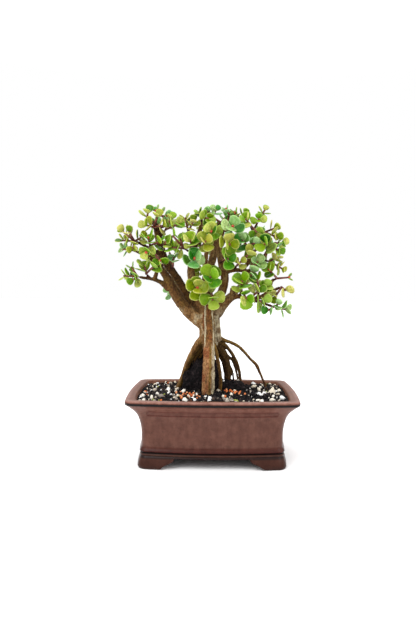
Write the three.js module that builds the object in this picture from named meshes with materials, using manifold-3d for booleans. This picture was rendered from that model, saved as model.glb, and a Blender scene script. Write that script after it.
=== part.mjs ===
// A dwarf jade bonsai in a glazed stoneware pot.
// Millimetres, +Z up, the front of the pot faces -Y.
// The tree and its pot are laid out round the middle of the pot, with heights that start at the
// widest line of its feet. The whole is then moved so that the origin lies on the ground under
// the middle of its box.
import * as THREE from 'three';
import { mergeVertices } from 'three/addons/utils/BufferGeometryUtils.js';
import Module from 'manifold-3d';

// ---- driving dimensions -------------------------------------------------------------------
const STAND = { x: 9.9, y: -1.4 };
const POT = { length: 213, width: 159, height: 81, bowLong: 5, bowShort: 3 };
const FOOT = { bottom: -2.8, top: 10.4, low: 31, high: 47.5, spread: 14 };
const FLOOR = { under: 11.4, top: 17.5 };
const DRAIN = { radius: 7, x: 38 };
const SCREEN = { side: 27, thick: 0.9, hole: 5, pitch: 7.5 };
const SOIL_TOP = 77;
const GAP = 0.3;
const SHOOT = { base: 1, tip: 0.85, neck: 1.4, sides: 4, firstPair: 1.2 };
const LEAF = {
  sides: 6, thick: 1.5, round: 0.84, start: 0.3, neck: 0.9, taper: 0.4, cup: 0.06,
  spacing: 0.42, toLight: 0.25, kinOverlap: -0.2,
};
const MOST_PAIRS = [2, 1, 1, 1, 1];

// ---- solids: a closed three.js geometry in, a closed three.js geometry out -----------------
const wasm = await Module();
wasm.setup();

function solid(geometry) {
  const bare = geometry.clone();
  bare.deleteAttribute('normal');
  bare.deleteAttribute('uv');
  const merged = mergeVertices(bare, 1e-3);
  return new wasm.Manifold(new wasm.Mesh({
    numProp: 3,
    vertProperties: new Float32Array(merged.attributes.position.array),
    triVerts: new Uint32Array(merged.index.array),
  }));
}

function joined(solids) {
  return solids.reduce((whole, next) => whole.add(next));
}

// Keeps the one body that matters where a cut has left loose scraps beside it.
function largestBody(body) {
  const bodies = body.decompose();
  return bodies.reduce((best, next) => (next.volume() > best.volume() ? next : best));
}

function geometryOf(body) {
  const mesh = body.getMesh();
  const geometry = new THREE.BufferGeometry();
  geometry.setAttribute('position', new THREE.BufferAttribute(new Float32Array(mesh.vertProperties), 3));
  geometry.setIndex(new THREE.BufferAttribute(new Uint32Array(mesh.triVerts), 1));
  return geometry;
}

function vector([x, y, z]) {
  return new THREE.Vector3(x, y, z);
}

const bonsai = new THREE.Group();
bonsai.position.set(STAND.x, STAND.y, -FOOT.bottom);

function place(name, geometry, material) {
  const mesh = new THREE.Mesh(geometry, material);
  mesh.name = name;
  bonsai.add(mesh);
  return mesh;
}

// ---- pot: fired stoneware, pressed in a mould and glazed -----------------------------------
const glaze = new THREE.MeshStandardMaterial({ color: 0x6f4a42, roughness: 0.35, metalness: 0 });

// One point of the pot's plan. The plan is a rectangle with round corners whose sides bow out.
// u runs once round it, and inset is how far the section stands in from the rim.
const CORNER_STEPS = 3;
const LONG_STEPS = 4;
const SHORT_STEPS = 3;
const RING = 4 * CORNER_STEPS + 2 * LONG_STEPS + 2 * SHORT_STEPS;

function planRing(inset, corner) {
  const halfX = POT.length / 2 - inset;
  const halfY = POT.width / 2 - inset;
  const cx = halfX - POT.bowShort - corner;
  const cy = halfY - POT.bowLong - corner;
  const quarters = [[1, -1], [1, 1], [-1, 1], [-1, -1]];
  const ring = [];
  quarters.forEach(([sx, sy], q) => {
    for (let i = 0; i <= CORNER_STEPS; i += 1) {
      const angle = (q - 1 + i / CORNER_STEPS) * Math.PI / 2;
      ring.push([sx * cx + corner * Math.cos(angle), sy * cy + corner * Math.sin(angle)]);
    }
    const long = q % 2 === 1;
    const steps = long ? LONG_STEPS : SHORT_STEPS;
    const [nx, ny] = quarters[(q + 1) % 4];
    for (let i = 1; i < steps; i += 1) {
      const t = i / steps;
      const bow = 1 - (2 * t - 1) ** 2;
      const x = THREE.MathUtils.lerp(sx, nx, t) * (long ? cx : cx + corner + POT.bowShort * bow);
      const y = THREE.MathUtils.lerp(sy, ny, t) * (long ? cy + corner + POT.bowLong * bow : cy);
      ring.push([x, y]);
    }
  });
  return ring;
}

// Carries a profile of [inset, height, corner radius] round the plan, closed at the middle line.
function roundThePlan(profile) {
  const section = profile.map(([inset, height]) => new THREE.Vector2(POT.width / 2 - inset, height));
  const under = new THREE.Vector2(0, profile[0][1]);
  const over = new THREE.Vector2(0, profile.at(-1)[1]);
  const turned = new THREE.LatheGeometry([under, ...section, over], RING);
  const rings = profile.map(([inset, , corner]) => planRing(inset, corner));
  const position = turned.attributes.position;
  const perTurn = profile.length + 2;
  for (let i = 0; i < position.count; i += 1) {
    const ring = rings[i % perTurn - 1];
    const turn = Math.floor(i / perTurn) % RING;
    const [x, y] = ring ? ring[turn] : [0, 0];
    position.setXYZ(i, x, y, position.getY(i));
  }
  return turned;
}

const POT_PROFILE = [
  // under the floor, then down the inside of the foot ring
  [28.5, FLOOR.under, 8], [28, FOOT.bottom, 8],
  // the feet flare, and two small ridges run above them
  [16.5, FOOT.bottom, 10], [13.8, 0, 12], [17.6, 12.2, 9], [16.6, 14, 10], [18, 15.8, 9], [16.3, 18, 10],
  // the waist, and the cove up to the flared rim
  [18.1, 25, 10], [18.1, 38, 10], [16.4, 51, 10], [14.6, 57.5, 10], [9.7, 66, 9.5], [1.6, 74.3, 9],
  // the rim's edge and its flat top
  [0, 76.6, 9.5], [0, 79.2, 9.5], [3, POT.height, 9], [9.8, 80.5, 8],
  // the inside down to the floor
  [12, 77, 8], [14, 71.2, 8], [19, 63.5, 7], [23.5, 52, 6], [24.5, 22, 6],
  [28, FLOOR.top, 6],
];

// The gap between two feet, cut right through the foot ring. Its ends lean inwards as an S, and
// the tool that cuts it runs past the ring above and below.
function footArch(side) {
  const low = side / 2 - FOOT.spread - FOOT.low;
  const high = side / 2 - FOOT.spread - FOOT.high;
  const middle = (FOOT.top + FOOT.bottom) / 2;
  const below = FOOT.bottom - 1;
  const above = FOOT.top + 1;
  const arch = new THREE.Shape();
  arch.moveTo(-low, below);
  arch.lineTo(low, below);
  arch.bezierCurveTo(low, middle, high, middle, high, FOOT.top);
  arch.lineTo(high, above);
  arch.lineTo(-high, above);
  arch.lineTo(-high, FOOT.top);
  arch.bezierCurveTo(-high, middle, -low, middle, -low, below);
  const long = 2 * POT.length;
  const cut = new THREE.ExtrudeGeometry(arch, { depth: long, bevelEnabled: false, curveSegments: 4 });
  return cut.rotateX(Math.PI / 2).translate(0, long / 2, 0);
}

function upright(radius, height, x, y, z, sides) {
  return new THREE.CylinderGeometry(radius, radius, height, sides).rotateX(Math.PI / 2).translate(x, y, z);
}

// The bowl and its feet are fired as one. Here each foot is a solid of its own that meets the
// bowl face to face at the top of the gaps, so that the space under the pot stays open.
let [bowl, feet] = solid(roundThePlan(POT_PROFILE)).splitByPlane([0, 0, 1], FOOT.top);
for (const x of [-DRAIN.x, DRAIN.x]) {
  bowl = bowl.subtract(solid(upright(DRAIN.radius, 4 * FLOOR.top, x, 0, 0, 12)));
}
place('pot', geometryOf(bowl), glaze);
feet = feet.subtract(solid(footArch(POT.length)));
feet = feet.subtract(solid(footArch(POT.width).rotateZ(Math.PI / 2)));
for (const foot of feet.decompose()) {
  const { min, max } = foot.boundingBox();
  const end = min[1] + max[1] < 0 ? 'front' : 'back';
  const side = min[0] + max[0] < 0 ? 'left' : 'right';
  place(`pot_foot_${end}_${side}`, geometryOf(foot), glaze);
}

// ---- drain screens: plastic mesh laid over the two drain holes ------------------------------
const plastic = new THREE.MeshStandardMaterial({ color: 0x23262a, roughness: 0.6, metalness: 0 });

function slab(side, thick, x, y, z) {
  return new THREE.BoxGeometry(side, side, thick).translate(x, y, z);
}

let net = solid(slab(SCREEN.side, SCREEN.thick, 0, 0, 0));
for (const x of [-SCREEN.pitch, 0, SCREEN.pitch]) {
  for (const y of [-SCREEN.pitch, 0, SCREEN.pitch]) {
    net = net.subtract(solid(slab(SCREEN.hole, 2 * SCREEN.thick, x, y, 0)));
  }
}
const SCREEN_HEIGHT = FLOOR.top + GAP + SCREEN.thick / 2;
for (const [name, x] of [['drain_screen_left', -DRAIN.x], ['drain_screen_right', DRAIN.x]]) {
  place(name, geometryOf(net), plastic).position.set(x, 0, SCREEN_HEIGHT);
}

// ---- tree: trunk, stilt roots, branches and woody twigs, grown as one piece -----------------
const bark = new THREE.MeshStandardMaterial({ color: 0x86705a, roughness: 0.85, metalness: 0 });

// Each limb is a list of points [x, y, z, radius] along its middle.
const ROOTS = {
  front: [[-6, 2, 193, 4], [-6, -3, 182, 5.5], [-5, -6, 161, 6.2], [-5, -7, 139, 7], [-5, -8, 110, 7.4],
    [-6, -8, 82, 8], [-6, -8, 70, 8]],
  left: [[-12, 8, 148, 5], [-19, 8, 139, 5.2], [-26, 11, 127, 4.8], [-33, 17, 113, 4.2],
    [-39, 24, 95, 3.8], [-46, 30, 77, 3.6], [-48, 32, 68, 3.6]],
  short: [[-8, 10, 147, 4.5], [-14, 15, 135, 3.8], [-18, 20, 121, 3.4], [-21, 25, 106, 3]],
  rightLong: [[5, 6, 150, 3], [12, 9, 145, 2.8], [23, 12, 141, 2.1], [34, 15, 135, 2],
    [42, 17, 127, 2], [50, 20, 118, 1.9], [58, 22, 110, 2.2], [64, 23, 97, 1.6], [70, 24, 84, 1.5],
    [74, 24, 71, 1.5]],
  rightArch: [[3, 10, 145, 4], [11, 15, 140, 3.4], [19, 22, 133, 2.5], [28, 30, 120, 2.1],
    [34, 36, 107, 2], [37, 40, 93, 2], [39, 42, 77, 2], [40, 42, 68, 2]],
  dark: [[-1, 12, 144, 6], [7, 19, 134, 6.2], [15, 27, 119, 6], [19, 32, 104, 5.2],
    [20, 34, 89, 4.6], [20, 34, 70, 4.2]],
  thin: [[11, 23, 128, 2.4], [25, 32, 116, 1.6], [31, 35, 102, 1.5], [34, 33, 88, 1.5],
    [35, 31, 70, 1.5]],
  innerRight: [[-1, 3, 142, 3.4], [4, 2, 129, 2.6], [7, 3, 115, 2.2], [10, 6, 97, 2.2],
    [10, 8, 80, 2.4], [10, 9, 68, 2.4]],
  back: [[-3, 18, 146, 6], [-2, 27, 134, 4.6], [-1, 38, 116, 3.6], [1, 50, 95, 3.2], [1, 54, 70, 3]],
  backLeft: [[-11, 16, 146, 5], [-18, 25, 133, 4], [-25, 40, 113, 3], [-31, 52, 92, 2.6],
    [-33, 54, 70, 2.6]],
};

const BRANCHES = {
  trunk: [[-5, 9, 132, 8], [-5, 9, 142, 12], [-6, 8, 156, 12.5], [-7, 8, 172, 13], [-7, 9, 187, 10]],
  sideColumn: [[5, 3, 183, 3], [5, 2, 171, 3.6], [6, 2, 157, 4], [7, 4, 143, 4]],
  left: [[-12, 8, 163, 7.5], [-22, 6, 173, 8.8], [-31, 4, 181, 8.2], [-43, 2, 195, 7.4], [-53, 0, 211, 6.4],
    [-61, -2, 226, 5], [-70, -4, 239, 3.8], [-79, -6, 249, 2.9], [-89, -8, 254, 2.2], [-100, -9, 259, 1.7]],
  leftLow: [[-58, -1, 210, 4], [-66, -4, 218, 3.1], [-74, -7, 222, 2.4], [-82, -10, 224, 2],
    [-91, -13, 225, 1.8]],
  leftStub: [[-76, -8, 222, 2.6], [-74, -9, 228, 2.7], [-73, -10, 233, 2.4]],
  leftHigh: [[-11, 12, 179, 6], [-22, 14, 185, 5.6], [-31, 15, 196, 5.4], [-38, 14, 208, 5.3],
    [-45, 12, 220, 5.2], [-54, 9, 233, 5], [-63, 6, 246, 4.7], [-68, 4, 261, 4.6], [-72, 2, 275, 4.8],
    [-74, 0, 288, 4.4], [-78, -2, 297, 3]],
  leftSide: [[-65, 5, 250, 3.4], [-72, 2, 257, 2.8], [-81, -2, 261, 2.3], [-89, -6, 266, 1.9],
    [-97, -8, 270, 1.7]],
  centreLeft: [[-10, 5, 182, 7], [-18, 3, 196, 6.6], [-24, 1, 211, 6], [-29, 0, 227, 5.2],
    [-29, 1, 242, 4.4], [-27, 2, 258, 3.6], [-22, 3, 275, 3.3], [-18, 3, 289, 2.8], [-17, 3, 297, 2.2]],
  centre: [[-6, 11, 185, 7], [-9, 13, 204, 6.4], [-9, 15, 226, 6], [-3, 17, 246, 5.2], [1, 18, 264, 4.6],
    [1, 18, 280, 3.6], [0, 17, 295, 2.6], [-1, 17, 303, 2]],
  centreRight: [[-2, 6, 182, 7], [6, 3, 198, 6.2], [13, 1, 214, 5.4], [14, 1, 229, 5.2], [10, 3, 245, 4.6],
    [7, 5, 261, 4.4], [8, 5, 275, 3.6], [12, 3, 289, 2.6], [18, 1, 301, 1.9]],
  right: [[-2, 8, 174, 7], [6, 6, 182, 7.6], [15, 4, 193, 6], [24, 1, 201, 4.8], [32, -4, 202, 3],
    [39, -8, 200, 2.3], [52, -10, 197, 2], [63, -10, 194, 1.8], [72, -10, 191, 1.6]],
  rightKnob: [[23, 1, 198, 3.6], [24, -1, 209, 2.8], [24, -2, 213, 2.6]],
  rightLow: [[43, -8, 199, 2.1], [56, -4, 200, 2.4], [68, 0, 205, 3], [73, 2, 215, 2.8], [76, 3, 223, 2.1]],
  rightStub: [[71, 0, 209, 2.2], [77, -2, 210, 1.9], [83, -4, 213, 1.7]],
  rightMiddle: [[12, 1, 233, 4], [23, -2, 236, 3.2], [33, -3, 236, 2.6], [43, -1, 235, 2.2],
    [53, 1, 239, 2.2], [61, 3, 246, 2.5], [67, 5, 256, 2.3], [72, 6, 266, 1.8]],
  rightHigh: [[35, -3, 236, 2.2], [44, 3, 245, 2.7], [48, 7, 260, 2.8], [51, 9, 274, 2.5], [51, 10, 287, 2]],
  backLeft: [[-9, 14, 172, 6], [-20, 26, 184, 5], [-35, 36, 200, 4.2], [-49, 44, 218, 3.4],
    [-58, 50, 238, 2.8], [-60, 52, 256, 2.2]],
  backRight: [[0, 14, 180, 6], [12, 26, 192, 5.2], [26, 36, 204, 4.4], [40, 44, 218, 3.4],
    [50, 48, 234, 2.8], [55, 48, 252, 2.2]],
  backCentre: [[-7, 16, 205, 4.5], [-10, 32, 222, 4], [-12, 42, 242, 3.4], [-10, 48, 262, 2.8],
    [-6, 48, 280, 2.2]],
};

// A shoot grows from a woody twig: the twig's foot in its limb and its blunt end, then the tip of
// each green shoot as [x, y, z, leaf length, pairs of leaves, turn of the first pair in degrees].
const SHOOTS = {
  left_low: [[-91, -13, 225], [-95, -14, 226], [-112, -18, 227, 11, 4, 90], [-100, -22, 223, 11, 2, 20],
    [-103, -20, 237, 10, 2, 60]],
  left_low_inner: [[-81, -9, 224], [-85, -12, 229], [-87, -17, 239, 15, 2, 0],
    [-76, -20, 239, 12, 2, 40]],
  left_twig: [[-100, -9, 259], [-105, -10, 260], [-115, -12, 261, 10, 2, 40]],
  left_tip: [[-97, -8, 270], [-100, -9, 271], [-115, -14, 272, 12, 3, 60], [-117, -8, 284, 12, 3, 20],
    [-92, -16, 276, 11, 2, 40], [-102, -18, 263, 11, 2, 10],
        [-106, -22, 281, 12, 3, 80]],
  left_inner: [[-81, -2, 261], [-81, -14, 265], [-82, -24, 274, 14, 3, 30], [-70, -22, 270, 13, 2, 0],
    [-68, -24, 247, 14, 1, 30], [-84, -28, 257, 12, 2, 60]],
  top_left_outer: [[-78, -2, 297], [-85, -5, 301], [-85, -9, 308, 12, 3, 60]],
  top_left_inner: [[-77, -1, 294], [-73, -2, 304], [-75, -3, 311, 10, 2, 10], [-63, -8, 304, 11, 2, 50]],
  top_left_front: [[-75, 0, 285], [-77, -10, 289], [-85, -18, 291, 12, 3, 10], [-64, -16, 291, 12, 2, 0], [-72, -20, 302, 12, 2, 40]],
  left_high_right: [[-72, 2, 275], [-63, -6, 286], [-55, -14, 300, 12, 3, 30],
    [-46, -22, 292, 13, 2, 60]],
  left_curved: [[-68, 4, 261], [-65, -12, 264], [-60, -28, 269, 14, 3, 20]],
  left_gap: [[-56, 8, 236], [-53, -2, 240], [-52, -8, 250, 10, 2, 20]],
  centre_left_outer: [[-22, 3, 275], [-32, -2, 284], [-37, -6, 301, 11, 3, 30],
    [-27, -14, 296, 11, 3, 70]],
  centre_left_low: [[-28, 2, 257], [-37, -14, 262], [-51, -25, 263, 13, 3, 80],
    [-42, -24, 273, 12, 2, 30], [-50, -34, 276, 12, 2, 10]],
  centre_pale: [[-25, 2, 262], [-27, -16, 263], [-29, -33, 271, 14, 3, 10]],
  centre_round: [[-29, 1, 242], [-27, -16, 245], [-24, -35, 249, 15, 3, 0]],
  centre_bluish: [[-22, 3, 275], [-16, -12, 266], [-11, -31, 270, 13, 3, 30]],
  centre_top_pale: [[1, 18, 280], [0, -6, 282], [-3, -27, 283, 13, 3, 0]],
  top_centre_left: [[-17, 3, 297], [-16, 1, 302], [-19, -2, 309, 10, 3, 20], [-8, -15, 301, 11, 3, 70]],
  top_centre: [[-1, 17, 303], [-1, 14, 308], [2, 8, 314, 9.5, 3, 20], [-8, 2, 311, 9.5, 3, 60]],
  front_low_left: [[-24, 1, 211], [-25, -16, 212], [-20, -35, 213, 15, 3, 80]],
  front_centre: [[-9, 14, 223], [-8, -12, 224], [-4, -36, 226, 16, 3, 30]],
  front_low_right: [[-9, 12, 207], [-3, -12, 208], [-1, -30, 199, 15, 3, 90]],
  front_pale: [[12, 3, 287], [21, -16, 285], [23, -34, 289, 16, 3, 70]],
  front_olive: [[8, 5, 275], [12, -16, 273], [19, -35, 267, 15, 3, 10]],
  centre_right_round: [[8, 3, 246], [12, -14, 248], [17, -31, 249, 14, 2, 0]],
  top_right_fork: [[12, 3, 289], [31, 6, 301], [40, 6, 311, 9.5, 3, 0], [27, 2, 310, 10, 2, 50]],
  red_tip: [[18, 1, 301], [19, 0, 306], [16, -3, 314, 8, 2, 40]],
  right_gap: [[25, -2, 236], [29, -12, 241], [33, -24, 245, 11, 2, 20], [43, -24, 255, 14, 2, 60]],
  right_big: [[33, -5, 202], [35, -16, 209], [35, -34, 221, 15, 3, 50], [40, -36, 201, 15, 2, 10]],
  right_low_front: [[39, -8, 200], [44, -17, 199], [61, -31, 197, 15, 3, 20], [55, -30, 209, 14, 2, 0]],
  right_low_tip: [[72, -10, 191], [76, -10, 190], [92, -12, 186, 11, 2, 30], [70, -22, 186, 12, 1, 0],
    [80, -20, 192, 11, 2, 50]],
  right_stub: [[83, -4, 213], [86, -5, 214], [91, -11, 211, 14, 2, 30], [79, -14, 203, 12, 2, 70]],
  right_middle_tip: [[76, 3, 223], [81, 2, 225], [97, 0, 227, 8, 1, 80], [71, -12, 236, 12, 3, 20]],
  right_inner: [[56, -4, 200], [58, -12, 208], [54, -27, 223, 14, 3, 20], [65, -22, 214, 12, 2, 60]],
  right_bluish: [[49, 0, 237], [50, -12, 239], [47, -27, 229, 13, 2, 0], [54, -25, 245, 13, 2, 50]],
  right_far: [[63, 4, 249], [71, 0, 248], [88, -6, 238, 9, 4, 20], [81, -2, 253, 10, 2, 70]],
  right_round: [[71, 6, 265], [71, -7, 268], [64, -24, 268, 16, 2, 40], [82, -16, 261, 10, 2, 10]],
  right_edge: [[72, 6, 266], [78, 5, 271], [88, 0, 271, 11, 3, 30]],
  right_figure: [[48, 7, 260], [43, -6, 267], [36, -23, 272, 13, 3, 85], [50, -19, 269, 12, 2, 30]],
  top_right: [[51, 10, 283], [65, 8, 286], [79, 4, 291, 11, 2, 20], [67, -9, 277, 13, 2, 60],
    [79, -8, 279, 12, 2, 20]],
  top_right_peak: [[51, 10, 287], [57, 9, 299], [66, 5, 315, 9.5, 3, 30], [57, -7, 301, 10, 2, 80]],
  top_right_inner: [[51, 10, 287], [47, 0, 294], [41, -13, 300, 12, 3, 10], [53, -16, 285, 12, 2, 50]],
  back_left_low: [[-35, 36, 200], [-46, 44, 204], [-62, 54, 206, 11, 3, 20], [-52, 58, 214, 11, 2, 60]],
  back_left_middle: [[-58, 50, 238], [-68, 54, 242], [-82, 50, 248, 11, 3, 40], [-66, 68, 244, 11, 2, 0]],
  back_left_tip: [[-60, 52, 256], [-62, 53, 262], [-66, 58, 280, 11, 3, 20], [-52, 64, 272, 11, 3, 70]],
  back_left_side: [[-63, 6, 246], [-72, 20, 250], [-84, 32, 256, 11, 3, 30], [-74, 32, 270, 11, 2, 60]],
  back_left_top: [[-74, 0, 288], [-68, 12, 292], [-58, 26, 300, 11, 3, 30], [-78, 24, 298, 11, 2, 0]],
  back_low: [[-12, 42, 242], [-14, 54, 238], [-24, 70, 236, 11, 3, 10], [-4, 68, 232, 11, 2, 60]],
  back_middle: [[-10, 48, 262], [-14, 58, 266], [-28, 66, 274, 11, 3, 40], [-4, 72, 268, 11, 3, 0]],
  back_tip: [[-6, 48, 280], [-5, 50, 286], [-16, 56, 300, 11, 3, 20], [10, 54, 296, 11, 3, 60]],
  back_top: [[0, 17, 295], [8, 26, 300], [18, 36, 312, 9, 3, 20], [-8, 34, 312, 9, 2, 60]],
  back_right_low: [[40, 44, 218], [50, 52, 214], [66, 58, 212, 11, 3, 10], [44, 66, 222, 11, 2, 60]],
  back_right_middle: [[50, 48, 234], [60, 50, 240], [76, 46, 246, 11, 3, 30], [58, 66, 250, 11, 2, 70]],
  back_right_tip: [[55, 48, 252], [56, 48, 258], [60, 52, 278, 11, 3, 10], [38, 60, 268, 11, 3, 50]],
  back_right_side: [[48, 7, 260], [58, 20, 264], [76, 28, 270, 11, 3, 30], [62, 30, 290, 11, 3, 0]],
};

// Bends a cylinder along a list of points [x, y, z, radius], with one ring of its faces at each.
// An edge of it runs towards facing.
function bent(points, sides, facing = new THREE.Vector3(0.3, 1, 0.2)) {
  const tube = new THREE.CylinderGeometry(1, 1, 1, sides, points.length - 1);
  const middles = points.map(vector);
  const rings = [];
  let side = facing;
  middles.forEach((middle, i) => {
    const before = middles[Math.max(i - 1, 0)];
    const after = middles[Math.min(i + 1, middles.length - 1)];
    const run = after.clone().sub(before).normalize();
    side = side.clone().addScaledVector(run, -side.dot(run)).normalize();
    rings.push({ middle, side, over: run.clone().cross(side), radius: points[i][3] });
  });
  const position = tube.attributes.position;
  for (let i = 0; i < position.count; i += 1) {
    const ring = rings[Math.round((0.5 - position.getY(i)) * (points.length - 1))];
    const point = ring.middle.clone();
    point.addScaledVector(ring.side, ring.radius * position.getX(i));
    point.addScaledVector(ring.over, ring.radius * position.getZ(i));
    position.setXYZ(i, point.x, point.y, point.z);
  }
  return tube;
}

// Thick limbs have more sides. extra makes a limb fatter, for the hole it stands in.
function limb(points, extra = 0) {
  const thickest = Math.max(...points.map((point) => point[3]));
  const sides = 4 + (thickest > 2.2) + (thickest > 6.5);
  const fat = points.map(([x, y, z, radius]) => [x, y, z, radius + extra]);
  return solid(bent(fat, sides));
}

const TWIG = { foot: 1.7, end: 1.25 };
const twigs = Object.values(SHOOTS).map(([foot, end]) => [[...foot, TWIG.foot], [...end, TWIG.end]]);
const limbs = [...Object.values(ROOTS), ...Object.values(BRANCHES)];
const wood = [...limbs.map((points) => limb(points)), ...twigs.map((points) => solid(bent(points, 3)))];
place('tree', geometryOf(joined(wood)), bark);

// ---- soil: black potting mix with white and orange grains, heaped up between the roots --------
const mix = new THREE.MeshStandardMaterial({ color: 0x2a2422, roughness: 0.95, metalness: 0 });

// Even numbers from 0 to 1 that are the same each time for one seed.
function random(seed) {
  let state = seed >>> 0;
  return () => {
    state = (state + 0x6d2b79f5) >>> 0;
    let mixed = Math.imul(state ^ (state >>> 15), state | 1);
    mixed ^= mixed + Math.imul(mixed ^ (mixed >>> 7), mixed | 61);
    return ((mixed ^ (mixed >>> 14)) >>> 0) / 4294967296;
  };
}

function soilHeight(x, y) {
  return SOIL_TOP + 0.9 * Math.sin(x / 11 + 1) + 0.8 * Math.cos(y / 9 + x / 25);
}

const SOIL_PROFILE = [
  [28.5, FLOOR.top + GAP + 0.1, 6], [24.9, 22.3, 6], [23.9, 52, 6], [19.4, 63.6, 7],
  [14.4, 71.3, 8], [12.9, 75.2, 8], [14.5, SOIL_TOP, 8], [30, SOIL_TOP, 8], [48, SOIL_TOP, 8],
  [64, SOIL_TOP, 6],
];
const bed = roundThePlan(SOIL_PROFILE);
const bedPoints = bed.attributes.position;
for (let i = 0; i < bedPoints.count; i += 1) {
  if (bedPoints.getZ(i) === SOIL_TOP) {
    bedPoints.setZ(i, soilHeight(bedPoints.getX(i), bedPoints.getY(i)));
  }
}

// The old root ball stands up between the roots as a rough heap: [x, y, z, half widths].
const HEAPS = [[-14.5, 27, 70, 25, 23, 52], [20, 28, 68, 25, 17, 20]];
const FULLNESS = 0.45; // how much wider a heap is near its top than a half ball
const GRAINS = { seed: 41, count: 44, onHeaps: 8, margin: 46, least: 1.9, most: 3.2, sunk: 0.35 };

function heap([x, y, z, wide, deep, high]) {
  const lump = new THREE.IcosahedronGeometry(1, 1);
  const points = lump.attributes.position;
  for (let i = 0; i < points.count; i += 1) {
    const [a, b, c] = [points.getX(i), points.getY(i), points.getZ(i)];
    const rough = 1 + 0.05 * Math.sin(7 * a + 3 * c) + 0.05 * Math.sin(9 * b - 5 * c);
    const wider = 1 + FULLNESS * Math.max(c, 0) ** 2;
    points.setXYZ(i, x + wide * a * rough * wider, y + deep * b * rough * wider, z + high * c * rough);
  }
  return lump;
}

function grain(draw, x, y, z) {
  const size = THREE.MathUtils.lerp(GRAINS.least, GRAINS.most, draw());
  const stone = new THREE.OctahedronGeometry(size, 0);
  stone.rotateX(3 * draw()).rotateY(3 * draw());
  return stone.translate(x, y, z + size * (0.5 - GRAINS.sunk));
}

const sow = random(GRAINS.seed);
const soilSolids = [solid(bed), ...HEAPS.map((lump) => solid(heap(lump)))];
for (let i = 0; i < GRAINS.count; i += 1) {
  const x = (sow() - 0.5) * (POT.length - GRAINS.margin);
  const y = (sow() - 0.5) * (POT.width - GRAINS.margin);
  soilSolids.push(solid(grain(sow, x, y, soilHeight(x, y))));
}
for (let i = 0; i < GRAINS.onHeaps; i += 1) {
  const [x, y, z, wide, deep, high] = HEAPS[i % HEAPS.length];
  const turn = 2 * Math.PI * sow();
  const rise = 0.35 + 0.55 * sow();
  const reach = Math.sqrt(1 - rise * rise) * (1 + FULLNESS * rise * rise);
  const [a, b] = [reach * Math.cos(turn), reach * Math.sin(turn)];
  soilSolids.push(solid(grain(sow, x + wide * a, y + deep * b, z + high * rise)));
}
const ROOT_HOLE = 0.45;
let soilBody = joined(soilSolids);
for (const points of Object.values(ROOTS)) {
  soilBody = soilBody.subtract(limb(points, ROOT_HOLE));
}
const pitHeight = 2 * (GAP + SCREEN.thick);
for (const x of [-DRAIN.x, DRAIN.x]) {
  const pit = slab(SCREEN.side + 2 * GAP, pitHeight, x, 0, FLOOR.top + GAP + pitHeight / 4);
  soilBody = soilBody.subtract(solid(pit));
}
place('soil', geometryOf(largestBody(soilBody)), mix);

// ---- sprays: soft green shoots with fleshy leaves in crossed pairs ---------------------------
// Every limb, stem and leaf is known by the room it takes, so that each new leaf can be turned
// or made smaller until it is clear of what stands there already.
const UP = new THREE.Vector3(0, 0, 1);
const FRONT = new THREE.Vector3(0, -1, 0);

// The room of a straight stretch of wood or stem.
function stretch(from, to, room, owner) {
  const run = to.clone().sub(from);
  const nearest = (point) => {
    const share = point.clone().sub(from).dot(run) / run.lengthSq();
    return from.clone().addScaledVector(run, THREE.MathUtils.clamp(share, 0, 1));
  };
  const middle = from.clone().add(to).multiplyScalar(0.5);
  return { ...owner, stem: true, middle, reach: run.length() / 2, room, nearest };
}

// The room of a leaf, a flat disc as wide as the blade is long.
function disc(middle, face, radius, room, owner) {
  const nearest = (point) => {
    const across = point.clone().sub(middle);
    across.addScaledVector(face, -across.dot(face));
    const length = across.length();
    return middle.clone().addScaledVector(across, length > radius ? radius / length : 1);
  };
  return { ...owner, stem: false, middle, reach: radius, room, nearest };
}

// How far two rooms lie apart, found by stepping from one to the other and back.
function distance(one, other) {
  let far = other.middle;
  let near = one.nearest(far);
  for (let i = 0; i < 14; i += 1) {
    far = other.nearest(near);
    near = one.nearest(far);
  }
  return near.distanceTo(far);
}

// Leaves of one spray may touch, and a leaf may touch its own stem and its partner.
function isClear(leaf, others) {
  return others.every((other) => {
    const kin = other.spray === leaf.spray;
    if (kin && other.shoot === leaf.shoot && (other.stem || other.pair === leaf.pair)) {
      return true;
    }
    const room = leaf.room + other.room + (kin ? -LEAF.kinOverlap : GAP);
    const between = leaf.middle.distanceTo(other.middle) - leaf.reach - other.reach;
    return between > room || distance(leaf, other) > room;
  });
}

const taken = [];
for (const points of [...limbs, ...twigs]) {
  for (let i = 1; i < points.length; i += 1) {
    const thick = Math.max(points[i - 1][3], points[i][3]);
    taken.push(stretch(vector(points[i - 1]), vector(points[i]), thick, { spray: 'wood' }));
  }
}

// The stems of a spray. The first shoot grows out of the twig's end, and the others fork from it.
const sprays = Object.entries(SHOOTS).map(([spray, [foot, end, ...tips]]) => {
  const out = vector(end).sub(vector(foot)).normalize();
  const start = vector(end).addScaledVector(out, GAP);
  const fork = start.clone().addScaledVector(out, SHOOT.neck);
  const shoots = tips.map(([x, y, z, leaf, pairs, turn], shoot) => {
    const tip = new THREE.Vector3(x, y, z);
    const owner = { spray, shoot };
    taken.push(stretch(fork, tip, SHOOT.base, owner));
    return { fork, tip, leaf, pairs, turn, owner };
  });
  return { spray, start, shoots, leaves: [] };
});

// The place that lies a way down a shoot from its tip, and the way the shoot runs there.
function placeDown({ fork, tip }, down) {
  const axis = tip.clone().sub(fork).normalize();
  const root = tip.clone().addScaledVector(axis, -down);
  return down < tip.distanceTo(fork) ? { root, axis } : null;
}

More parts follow.
